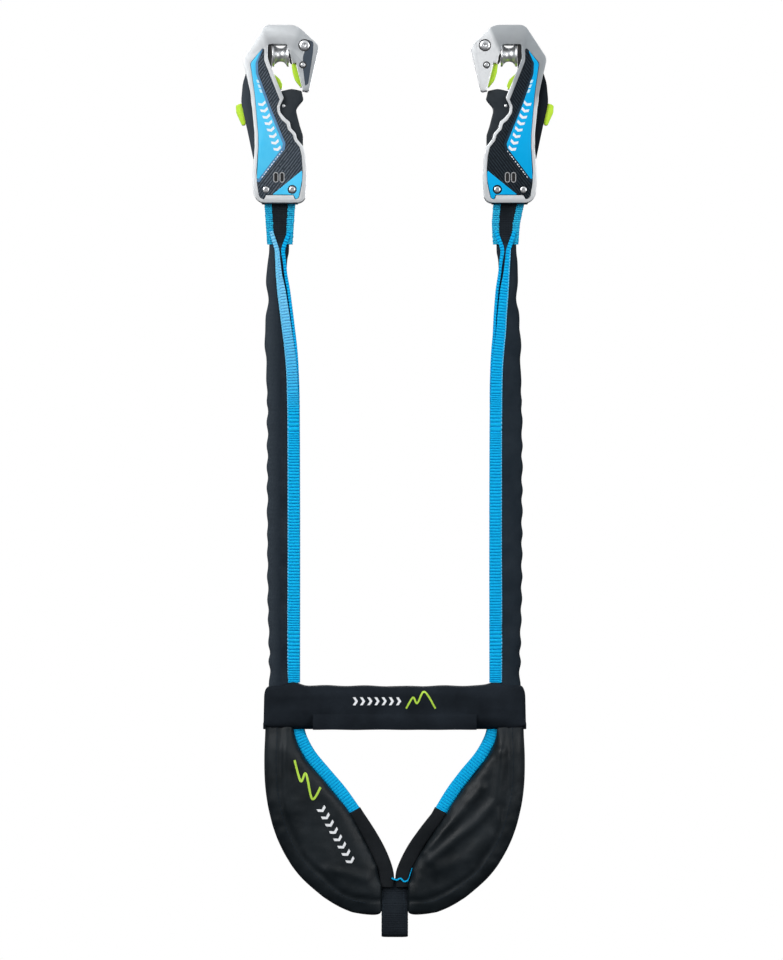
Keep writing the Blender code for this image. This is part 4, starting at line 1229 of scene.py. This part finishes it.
def strap(stations, flat="xz", pitch=RIB_PITCH, rib=0.9, points=16, fuzz=0.0):
    """A ribbed strap along the stations, which lies flat in xz or stands across x.

    rib is how far the ribs stand up, and fuzz how uneven the edges are, in millimetres.
    """
    step = pitch / RINGS_PER_RIB
    route = smooth_route(stations, step)
    rows = []
    travelled = 0.0
    for i, (x, y, z, width, half_depth) in enumerate(route):
        here = Vector((x, y, z))
        ahead = Vector(route[min(len(route) - 1, i + 1)][:3])
        behind = Vector(route[max(0, i - 1)][:3])
        tangent = (ahead - behind).normalized()
        travelled += (here - behind).length if i else 0.0
        if flat == "xz":
            normal = Vector((0.0, 1.0, 0.0))
            across = tangent.cross(normal).normalized()
        else:
            across = Vector((1.0, 0.0, 0.0))
            normal = across.cross(tangent).normalized()
        crest = rib * (rib_height(i) - 0.7)
        row = []
        for k in range(points):
            angle = 2 * math.pi * k / points
            over = math.copysign(abs(math.cos(angle)) ** 0.35, math.cos(angle))
            out = math.copysign(abs(math.sin(angle)) ** 0.6, math.sin(angle))
            rough = fuzz * noise.noise(Vector((k * 3.7, travelled / 1.3, x * 0.2)))
            parting = 0.3 * rib * math.exp(-((over / 0.15) ** 2))
            spot = here + across * over * (width / 2 + crest * 0.2 + rough)
            spot += normal * out * (half_depth + crest - parting + rough * 0.5)
            row.append(tuple(spot))
        rows.append(row)
    return rings(rows)


def make_webbing_loop(half):
    """The strap round the bar: a black middle between two bound blue edges."""
    legs = [(1.5, -169.5), (1.5, -150.0), (1.5, -132.0), (3.1, -120.0), (4.5, -112.0)]
    radius = 5.0
    turn = []
    for k in range(7):
        angle = math.radians(15 + 25 * k)
        turn.append((radius * math.cos(angle), BAR_Z + radius * math.sin(angle)))
    route = legs + turn + [(-y, z) for y, z in reversed(legs)]
    parts = {
        "core": (0.0, 18.0, 0.9, WEBBING_BLACK, "black_webbing", ["webbing_loop"]),
        "edge_outer": (-1.0, 6.8, 1.2, SEWN_EDGE, "blue_webbing", []),
        "edge_inner": (1.0, 6.8, 1.2, SEWN_EDGE, "blue_webbing", []),
    }
    for label, (place, width, half_depth, material, slot, nodes) in parts.items():
        stations = []
        for y, z in route:
            spread = 11.2 - 2.6 * max(0.0, min(1.0, (-130.0 - z) / 40.0))
            stations.append((LOOP_CENTRE + place * spread, y, z, width, half_depth))
        rib, fuzz = (0.7, 0.9) if place else (0.2, 0.25)
        shape = nudged(strap(stations, "x", 1.9, rib, 20, fuzz), half.side, ARM_LEAN, 1)
        half.sew(ribbed(bake(half.piece(f"loop_{label}", shape, material)), 20), slot, *nodes)


def sleeve_stations():
    """The black sleeve: height, outer edge, inner edge and half depth."""
    return [
        (-168.0, -120.4, -101.4, 3.2), (-177.0, -120.7, -101.6, 4.0),
        (-184.0, -121.6, -103.0, 4.4), (-194.0, -122.8, -103.6, 4.8),
        (-207.0, -123.6, -103.0, 5.2), (-223.0, -121.2, -100.8, 5.2), (-238.0, -123.9, -98.8, 5.4),
        (-253.0, -124.4, -96.9, 5.5), (-267.0, -125.0, -95.3, 5.5), (-280.0, -123.2, -94.4, 5.5),
        (-297.0, -123.4, -93.6, 5.5), (-323.0, -122.4, -93.0, 5.5), (-400.0, -122.4, -92.8, 5.5),
        (-500.0, -122.0, -92.8, 5.5), (-560.0, -120.6, -92.8, 5.5), (-598.0, -120.2, -92.8, 5.5),
    ]


def make_arm_sleeve(half):
    """The black tube of cloth, puckered along its outer seam and pressed flat under the tape."""
    stations = [(left, right, z, half_depth, 0.0) for z, left, right, half_depth in sleeve_stations()]
    side = half.side
    count = 28
    rows = []
    for left, right, z, half_depth, _ in smooth_route(stations, 2.0):
        left += level_at(SLEEVE_SLIM, z) if side == RIGHT else 0.0
        pucker = 0.6 + 0.5 * noise.noise(Vector((z / 60.0, side * 3.1, 0.0)))
        pucker *= smooth_between(-z, 285.0, 335.0)
        wave = pucker * math.sin(2 * math.pi * z / 21.0 + 1.7 * noise.noise(Vector((z / 35.0, side, 4.0))))
        row = []
        for k in range(count):
            angle = 2 * math.pi * k / count
            over = math.copysign(abs(math.cos(angle)) ** 0.7, math.cos(angle))
            out = math.sin(angle)
            share = (over + 1) / 2
            x = left + (right - left) * share + wave * (1 - share) ** 2
            flatten = 1.0 - 0.62 * max(0.0, (share - 0.45) / 0.55)
            fold = 0.55 * noise.noise(Vector((share * 2.2, z / 16.0, out + side * 5.0)))
            fold += 0.35 * noise.noise(Vector((share * 6.0, z / 90.0, out * 2.0 + side)))
            y = out * (half_depth * flatten + fold)
            row.append((x, y, z))
        rows.append(row)
    sleeve = half.piece("arm_sleeve", nudged(rings(rows), side, ARM_LEAN, 1), SLEEVE_CLOTH_LIT_AND_SHADED)
    half.sew(bake(sleeve), "black_webbing", "arm", "arm_elastic")


def make_arm_tapes(half):
    """The blue tape on the arm's inner edge, its folded second layer, and its pale selvedge, widened near
    the top on the left half as a painted highlight.
    """
    front = TAPE_FRONT
    main = [
        (-118.6, front + 0.4, -157.0, 3.6, 1.1), (-115.8, front, -166.0, 4.2, 1.3),
        (-113.0, front - 0.4, -175.0, 4.4, 1.4), (-112.1, front - 0.8, -186.0, 5.0, 1.4),
        (-111.0, front - 1.0, -199.0, 6.0, 1.4), (-108.9, front - 1.0, -213.0, 8.0, 1.5),
        (-106.2, front - 0.8, -232.0, 8.8, 1.6), (-103.4, front - 0.6, -252.0, 9.4, 1.7),
        (-101.4, front - 0.2, -266.0, 9.8, 1.8), (-99.0, front, -288.0, 10.6, 2.0),
        (-97.9, front + 0.4, -312.0, 11.0, 2.3), (-97.2, front + 1.0, -350.0, 11.4, 2.6),
        (-96.9, front + 1.4, -450.0, 11.8, 2.8), (-97.0, front + 1.4, -540.0, 12.2, 2.8),
        (-97.0, front + 1.4, -590.0, 11.8, 2.8),
    ]
    second = [
        (-100.6, front + 1.2, -157.0, 3.6, 1.1), (-104.2, front + 0.8, -166.0, 4.0, 1.2),
        (-107.0, front + 0.6, -175.0, 3.8, 1.3), (-105.8, front + 0.4, -186.0, 3.2, 1.5),
        (-104.4, front + 0.6, -199.0, 3.0, 1.8), (-101.9, front + 0.8, -213.0, 3.0, 2.0),
        (-98.8, front + 1.2, -236.0, 2.8, 2.2), (-96.6, front + 1.6, -254.0, 2.8, 2.4),
        (-94.8, front + 2.0, -270.0, 2.8, 2.6), (-93.4, front + 2.6, -292.0, 2.8, 2.8),
        (-92.4, front + 3.6, -330.0, 2.6, 2.8), (-91.8, front + 4.0, -450.0, 2.2, 2.8),
        (-91.8, front + 4.0, -590.0, 2.0, 2.8),
    ]
    edge = []
    for x, y, z, width, half_depth in main[2:]:
        # The narrow pale strip is the selvedge; on the left half it widens near the top as a painted
        # highlight.
        pale = 1.0 + (1.8 * smooth_between(z, -250.0, -205.0) if half.side == LEFT else 0.0)
        edge.append((x - width / 2 + pale / 2, y - half_depth * 0.5, z, pale, 0.9))
    pieces = {
        "tape": (main, {LEFT: SHEEN_PAINTED_TAPE, RIGHT: BLUE_TAPE}),
        "tape_layer": (second, BLUE_TAPE),
        "tape_selvedge": (edge, PALE_EDGE_AND_HIGHLIGHT),
    }
    for label, (stations, material) in pieces.items():
        shape = nudged(strap(stations), half.side, ARM_LEAN, 1)
        half.sew(ribbed(bake(half.piece(f"arm_{label}", shape, material)), 16), "blue_webbing")


def make_load_tape(half):
    """The blue load tape from the band down to the sleeve."""
    stations = [
        (-93.6, -0.4, -628.0, 12.4, 3.6), (-92.4, -0.4, -636.0, 12.4, 3.8),
        (-88.9, -0.4, -646.0, 12.2, 4.2), (-80.6, -0.4, -660.5, 12.2, 4.6),
        (-66.6, -0.4, -677.2, 12.0, 4.6), (-52.0, -0.4, -694.6, 12.2, 4.6),
        (-38.6, -0.4, -713.5, 12.2, 4.4), (-35.0, -0.4, -719.0, 11.6, 4.0),
    ]
    shape = nudged(strap(stations, rib=0.45, points=20), half.side, TAPE_SPREAD, -1)
    tape = ribbed(bake(half.piece("load_webbing", shape, BLUE_TAPE)), 20)
    half.sew(tape, "blue_webbing", "load_tape")


def make_tape_sleeve(half):
    """The black cloth sleeve round the tape's lower end, creased towards the point of the V."""
    stations = [
        (-39.0, 0.0, -712.6, 13.2, 5.6), (-36.2, 0.0, -717.6, 13.6, 6.0),
        (-26.0, 0.0, -734.0, 14.6, 6.2), (-17.2, 0.0, -750.0, 15.2, 6.2),
        (-10.8, 0.0, -765.0, 15.2, 6.2), (-8.0, 0.0, -776.0, 14.8, 6.2),
        (-8.0, 0.0, -786.0, 14.0, 5.6),
    ]
    points, faces = strap(stations, pitch=5.0, rib=0.0, points=24)
    creased = []
    for x, y, z in points:
        crease = 0.6 * noise.noise(Vector((x / 6.0, z / 22.0, half.side * 2.0 + math.copysign(1.0, y))))
        creased.append((x, y + math.copysign(crease, y), z))
    shape = nudged((creased, faces), half.side, TAPE_SPREAD, -1)
    half.sew(bake(half.piece("tape_cover", shape, COVER_CLOTH)), "black_webbing", "tape_sleeve")


# The band and the pouch


def soft_bag(bag, pressure, limit):
    """A closed mesh swollen by its filling: remeshed, blown up as cloth, and capped at limit."""
    remesh = bag.modifiers.new("remesh", "REMESH")
    remesh.mode = "VOXEL"
    remesh.voxel_size = POUCH_VOXEL
    bake(bag)
    blow_up(bag, pressure, limit * MM)
    subdivide = bag.modifiers.new("subdivide", "SUBSURF")
    subdivide.levels = 1
    subdivide.render_levels = 1
    return bake(bag)


def blow_up(bag, pressure, limit):
    """Runs the cloth simulation, and keeps every point within limit of where it began.

    The sewn outline holds the cloth, so only IN_PLANE of the movement along x and z is kept.
    """
    start = [vertex.co.copy() for vertex in bag.data.vertices]
    cloth = bag.modifiers.new("cloth", "CLOTH")
    cloth.settings.use_pressure = True
    cloth.settings.uniform_pressure_force = pressure
    cloth.settings.effector_weights.gravity = 0.0
    scene = bpy.context.scene
    for number in range(1, CLOTH_FRAMES + 1):
        scene.frame_set(number)
    bake(bag)
    scene.frame_set(1)
    for vertex, first in zip(bag.data.vertices, start):
        moved = vertex.co - first
        moved.x *= IN_PLANE
        moved.z *= IN_PLANE
        vertex.co = first + moved
        if moved.length > limit:
            vertex.co = first + moved * (limit / moved.length)


def lobe_edge():
    """The pouch's outer edge, from the band round to the tie-in loop."""
    corners = [
        (-124.6, BAND_LOW.z + 9.0), (-124.8, -640.0), (-125.6, -662.0), (-124.8, -688.0),
        (-121.2, -712.0), (-114.8, -735.0), (-105.6, -755.0), (-92.0, -775.0), (-75.4, -790.4),
        (-61.0, -801.0), (-45.0, -809.2), (-29.0, -812.8), (-12.4, -813.6),
    ]
    route = smooth_route([(x, 0.0, z) for x, z in corners], 4.0)
    return [(x, z) for x, _, z in route]


def lobe_outline(side):
    """One lobe: the outer edge, the slot for the tie-in loop, and the edge beside the tape."""
    corners = [
        (-12.4, -786.0), (-14.2, -779.0), (-17.6, -764.5), (-28.0, -742.5), (-41.4, -716.5),
        (-54.9, -698.5), (-69.9, -681.0), (-84.5, -663.5), (-94.1, -645.0),
        (-98.0, BAND_LOW.z + 9.0),
    ]
    route = smooth_route([(x, 0.0, z) for x, z in corners], 4.0)
    beside_tape, _ = nudged((route, []), side, TAPE_SPREAD, -1)
    return lobe_edge() + [(x, z) for x, _, z in beside_tape]


def lobe_relief(x, z, edge, side, front):
    """How far the pouch's cloth stands out at a place: border, seam, folds and ripples."""
    wander = 2.2 * noise.noise(Vector((x / 20.0, z / 20.0, side * 2.0)))
    seam = edge - BORDER_WIDTH + wander
    panel = 1.2 * smooth_between(seam, 0.0, 7.0)
    groove = -1.5 * math.exp(-((seam / 1.4) ** 2))
    folds = 0.0
    for route, width, height in RIDGES[side]:
        folds += height * bump_along(route, x, z, width)
    loose = smooth_between(seam, -2.0, 5.0)
    ripple = 0.5 * noise.noise(Vector((x / 11.0, z / 14.0, side + front * 4)))
    ripple += 0.3 * noise.noise(Vector((x / 5.0, z / 5.0, side + front * 9)))
    return panel + groove + folds * loose * (1.0 if front < 0 else 0.5) + ripple


def make_pouch(half):
    """One lobe of the pouch: blown up as cloth, then given its border seam and folds."""
    side = half.side
    outer = lobe_edge()
    lobe = soft_bag(half.piece("pouch_lobe", slab(lobe_outline(side), 9.5)), 4.0, 3.0)
    lobe.data.materials.append(POUCH_CLOTH)
    limit = POUCH_HALF_DEPTH - 0.5
    for vertex in lobe.data.vertices:
        x = side * vertex.co.x / MM
        y = vertex.co.y / MM
        z = vertex.co.z / MM
        front = -1.0 if y < 0 else 1.0
        edge = distance_to(outer, x, z)
        upright = smooth_between(abs(y), 2.0, 8.0)
        y += front * lobe_relief(x, z, edge, side, front) * upright
        tucked = smooth_between(z, BAND_LOW.z - 22.0, BAND_LOW.z - 1.0)
        y = max(-limit, min(limit, y)) * (1.0 - 0.25 * tucked)
        vertex.co.y = y * MM
    make_border_stitches(half, lobe)
    if side == LEFT:
        make_lobe_marks(lobe)
    half.sew(lobe, "pouch_fabric", "pouch_half", "absorber")


def make_border_stitches(half, lobe):
    """A row of lock stitches just outside the border seam, on the front and on the back."""
    outer = lobe_edge()
    closed = outer + [(-12.4, -700.0), (-99.8, -640.0)]
    inner = inset(closed, 3.0 - BORDER_WIDTH)[1 : len(outer) - 4]
    for label, front in {"front": -1, "back": 1}.items():
        row = laid_on(stitches(inner), lobe, half.side, front)
        half.sew(half.piece(f"lobe_stitches_{label}", row, SLEEVE_CLOTH_LIT_AND_SHADED[RIGHT]), "pouch_fabric")


def make_marks(name, ground, slot, row, peaks, width):
    """Generic marks on the ground: a row of white chevrons, and a lime line of peaks."""
    marks = make(f"{name}_marks", laid_on(row, ground), WHITE_INK)
    settle(marks, "lanyard", slot)
    line = strap([(x, 0.0, z, width, 0.3) for x, z in peaks], pitch=4.0, rib=0.0, points=8)
    settle(bake(make(f"{name}_peaks", laid_on(line, ground), LIME_INK)), "lanyard", slot)


def make_lobe_marks(lobe):
    """The marks on the left lobe."""
    row = chevrons((-70.5, -710.0), (-43.0, -759.0), 8, 2.6, 8.4, 2.8, -PRINT_DEPTH, PRINT_DEPTH)
    peaks = [(-96.0, -664.0), (-90.0, -684.0), (-85.0, -677.0), (-79.0, -701.0), (-71.0, -690.0)]
    make_marks("lobe", lobe, "pouch_fabric", row, peaks, 2.2)


def make_band_marks(band):
    """The marks on the band."""
    row = chevrons((-39.0, -607.5), (2.4, -607.5), 7, 2.4, 7.6, 2.6, -PRINT_DEPTH, PRINT_DEPTH)
    peaks = [(11.0, -614.5), (17.5, -604.0), (21.5, -609.5), (28.5, -598.5), (39.0, -614.5)]
    make_marks("band", band, "black_webbing", row, peaks, 1.8)


def make_band():
    """The padded cross band, with a swelling where each arm goes in."""
    low = BAND_LOW
    high = BAND_HIGH
    corners = [
        (low.x + 1.0, high.z - 1.2, 5), (high.x - 1.0, high.z - 1.2, 5),
        (high.x - 0.2, low.z + 0.4, 1.5), (low.x + 0.2, low.z + 0.4, 1.5),
    ]
    shape = prism(rounded(corners, math.radians(20)), low.y + 5.5, high.y - 5.5)
    band = soft_bag(make("band_body", shape), 5.0, 3.5)
    band.data.materials.append(BAND_CLOTH)
    for vertex in band.data.vertices:
        x, y, z = vertex.co / MM
        front = -1.0 if y < 0 else 1.0
        upright = smooth_between(abs(y), 3.0, 9.0)
        wrinkle = 0.9 * noise.noise(Vector((x / 16.0, z / 30.0, front)))
        wrinkle += 0.9 * noise.noise(Vector((x / 45.0, z / 9.0, front * 3)))
        vertex.co.y += front * wrinkle * upright * MM
        near_arm = math.exp(-(((abs(x) - 97.0) / 8.0) ** 2))
        top_edge = smooth_between(z, high.z - 8.0, high.z - 2.0)
        vertex.co.z += (3.2 * near_arm * top_edge + 0.4 * math.sin(x / 6.0) * top_edge) * MM
    make_band_marks(band)
    settle(band, "lanyard", "black_webbing", "band")
    make_hem()
    make_flap(band)


def make_hem():
    """The flat sewn hem along the band's lower edge, which gives it its square corners."""
    corners = [
        (BAND_LOW.x, BAND_LOW.z + 9.0, 4.0), (BAND_HIGH.x, BAND_LOW.z + 9.0, 4.0),
        (BAND_HIGH.x, BAND_LOW.z, 0.8), (BAND_LOW.x, BAND_LOW.z, 0.8),
    ]
    hem = bevel(make("band_hem", slab(rounded(corners), 4.5), BAND_CLOTH), 1.6, 3)
    settle(hem, "lanyard", "black_webbing")


def make_flap(band):
    """The flap along the band's lower front edge, which hangs down from the band's front."""
    bpy.context.view_layer.update()
    levels = [0.0] * (FLAP_COLUMNS + 1)
    points = []
    for row in range(FLAP_ROWS + 1):
        z = FLAP_HIGH.z + (FLAP_LOW.z - FLAP_HIGH.z) * row / FLAP_ROWS
        roll = 0.9 * math.sin(math.pi * row / FLAP_ROWS)
        for k in range(FLAP_COLUMNS + 1):
            x = FLAP_LOW.x + (FLAP_HIGH.x - FLAP_LOW.x) * k / FLAP_COLUMNS
            sag = 0.25 * noise.noise(Vector((x / 18.0, z / 10.0, 2.0)))
            wave = 0.5 * noise.noise(Vector((x / 25.0, 0.0, row)))
            levels[k] = min(levels[k], surface_y(band, x, z, -1) or 0.0)
            points.append((x, levels[k] - 0.7 - roll + sag, z + wave))
    faces = []
    for row in range(FLAP_ROWS):
        for k in range(FLAP_COLUMNS):
            first = row * (FLAP_COLUMNS + 1) + k
            below = first + FLAP_COLUMNS + 1
            faces.append((first, first + 1, below + 1, below))
    flap = make("band_flap_cloth", (points, faces), BAND_CLOTH)
    solidify = flap.modifiers.new("thickness", "SOLIDIFY")
    solidify.thickness = FLAP_THICKNESS * MM
    solidify.offset = 0.0
    bake(flap)
    settle(flap, "lanyard", "black_webbing", "band_flap")


def eye_route():
    """The tie-in loop from the side, as (y, z): up the back leg, over, and down the front leg."""
    leg = [(1.5, -778.0), (1.6, -790.0), (4.4, -796.0), (6.6, -804.0), (7.0, -822.0), (5.8, -829.5)]
    floor = [(2.6, TIE_LOW.z + 1.5)]
    return leg + floor + [(-y, z) for y, z in reversed(leg + floor)]


def make_tie_in_loop():
    """The black tie-in webbing with its rows of stitches."""
    stations = [(0.0, y, z, 2 * TIE_HIGH.x - 0.6, 1.1) for y, z in eye_route()]
    webbing = bake(make("tie_in_webbing", strap(stations, "x", 1.8, 0.25, 18, 0.25), WEBBING_BLACK))
    settle(webbing, "lanyard", "black_webbing", "tie_in_loop")
    rows = []
    for x in (-11.2, 9.0):
        route = [(x + 0.5 * math.sin(z / 5.0), float(z)) for z in range(-784, -815, -6)]
        rows.append(stitches(route, 2.0, 3.0, 0.8, 0.3))
    row = make("tie_in_stitches", laid_on(joined(rows), webbing), SLEEVE_CLOTH_LIT_AND_SHADED[RIGHT])
    settle(row, "lanyard", "black_webbing")
    make_blue_tacks()


def make_blue_tacks():
    """Blue thread where the two sleeves meet above the tie-in loop."""
    tacks = [(-3.0, -777.4), (2.0, -779.0), (5.5, -777.6), (9.0, -780.6), (12.6, -779.4)]
    edge = [(12.6, -779.4), (14.6, -774.0), (16.6, -767.6)]
    for label, (route, width) in {"tacks": (tacks, 1.5), "edge": (edge, 0.8)}.items():
        line = [(x, -7.0, z, width, 0.4) for x, z in route]
        shape = strap(line, pitch=2.0, rib=0.2, points=8)
        piece = ribbed(bake(make(f"blue_{label}", shape, BLUE_TAPE)), 8)
        settle(piece, "lanyard", "blue_webbing")


# Camera, light and floor


def make_area_light(name, place, target, size, power):
    """A soft square light that faces the target."""
    data = bpy.data.lights.new(name, "AREA")
    data.shape = "SQUARE"
    data.size = size
    data.energy = power
    light = bpy.data.objects.new(name, data)
    light.location = place
    light.rotation_euler = (Vector(target) - Vector(place)).to_track_quat("-Z", "Y").to_euler()
    bpy.context.scene.collection.objects.link(light)


def make_world():
    """White round the camera, and softer light from below than from above."""
    world = bpy.data.worlds.new("studio")
    bpy.context.scene.world = world
    world.use_nodes = True
    nodes = world.node_tree.nodes
    links = world.node_tree.links
    place = nodes.new("ShaderNodeTexCoord")
    split = nodes.new("ShaderNodeSeparateXYZ")
    links.new(place.outputs["Generated"], split.inputs[0])
    ramp = nodes.new("ShaderNodeValToRGB")
    links.new(split.outputs[2], ramp.inputs["Fac"])
    ramp.color_ramp.elements[0].position = 0.0
    ramp.color_ramp.elements[0].color = (0.10, 0.10, 0.11, 1.0)
    ramp.color_ramp.elements[1].position = 0.30
    ramp.color_ramp.elements[1].color = (0.85, 0.87, 0.90, 1.0)
    light = nodes["Background"]
    links.new(ramp.outputs["Color"], light.inputs["Color"])
    light.inputs["Strength"].default_value = 0.72
    backdrop = nodes.new("ShaderNodeBackground")
    backdrop.inputs["Color"].default_value = (1.0, 1.0, 1.0, 1.0)
    rays = nodes.new("ShaderNodeLightPath")
    mix = nodes.new("ShaderNodeMixShader")
    links.new(rays.outputs["Is Camera Ray"], mix.inputs[0])
    links.new(light.outputs[0], mix.inputs[1])
    links.new(backdrop.outputs[0], mix.inputs[2])
    links.new(mix.outputs[0], nodes["World Output"].inputs["Surface"])


def make_floor():
    """A plain white floor under the hanging set, seen by the camera only."""
    size = 30000.0
    drop = CAD_BOUNDS[0].z / MM - 60.0
    floor = make("floor", block((-size, -size, drop - 1.0), (size, size, drop)))
    material = bpy.data.materials.new("floor")
    material.use_nodes = True
    shader = material.node_tree.nodes["Principled BSDF"]
    shader.inputs["Base Color"].default_value = (0.0, 0.0, 0.0, 1.0)
    shader.inputs["Specular IOR Level"].default_value = 0.0
    shader.inputs["Emission Color"].default_value = (1.0, 1.0, 1.0, 1.0)
    shader.inputs["Emission Strength"].default_value = 1.0
    floor.data.materials.append(material)
    floor.visible_diffuse = False
    floor.visible_glossy = False
    floor.visible_shadow = False


def make_camera():
    """A long lens square to the front."""
    height = 921.6
    middle = (-3.1, -395.6)
    distance = 6000.0
    data = bpy.data.cameras.new("camera")
    data.sensor_width = 36.0
    data.lens = data.sensor_width * distance / height
    data.clip_end = 100.0
    camera = bpy.data.objects.new("camera", data)
    camera.location = (middle[0] * MM, -distance * MM, middle[1] * MM)
    camera.rotation_euler = (math.radians(90), 0.0, 0.0)
    bpy.context.scene.collection.objects.link(camera)
    bpy.context.scene.camera = camera


def make_studio():
    """Camera, world, floor and three soft lights."""
    make_camera()
    make_world()
    make_floor()
    target = (0.0, 0.0, -0.35)
    make_area_light("key", (-1.6, -2.0, 0.9), target, 1.4, 52.0)
    make_area_light("fill", (1.7, -1.8, 0.1), target, 1.2, 22.0)
    make_area_light("back", (0.3, 2.4, 0.6), target, 1.6, 45.0)
    bpy.context.scene.view_settings.view_transform = "Standard"


HALF_MAKERS = (
    make_frame, make_covers, make_panels, make_gate, make_lever, make_lime_parts, make_roller,
    make_nose_pins, make_screws, make_linings, finish_hidden_nodes, make_webbing_loop,
    make_arm_sleeve, make_arm_tapes, make_load_tape, make_tape_sleeve, make_pouch,
)

make_studio()
for side_name, side_sign in SIDES.items():
    half = Half(side_name, side_sign)
    for make_pieces in HALF_MAKERS:
        make_pieces(half)
make_band()
make_tie_in_loop()
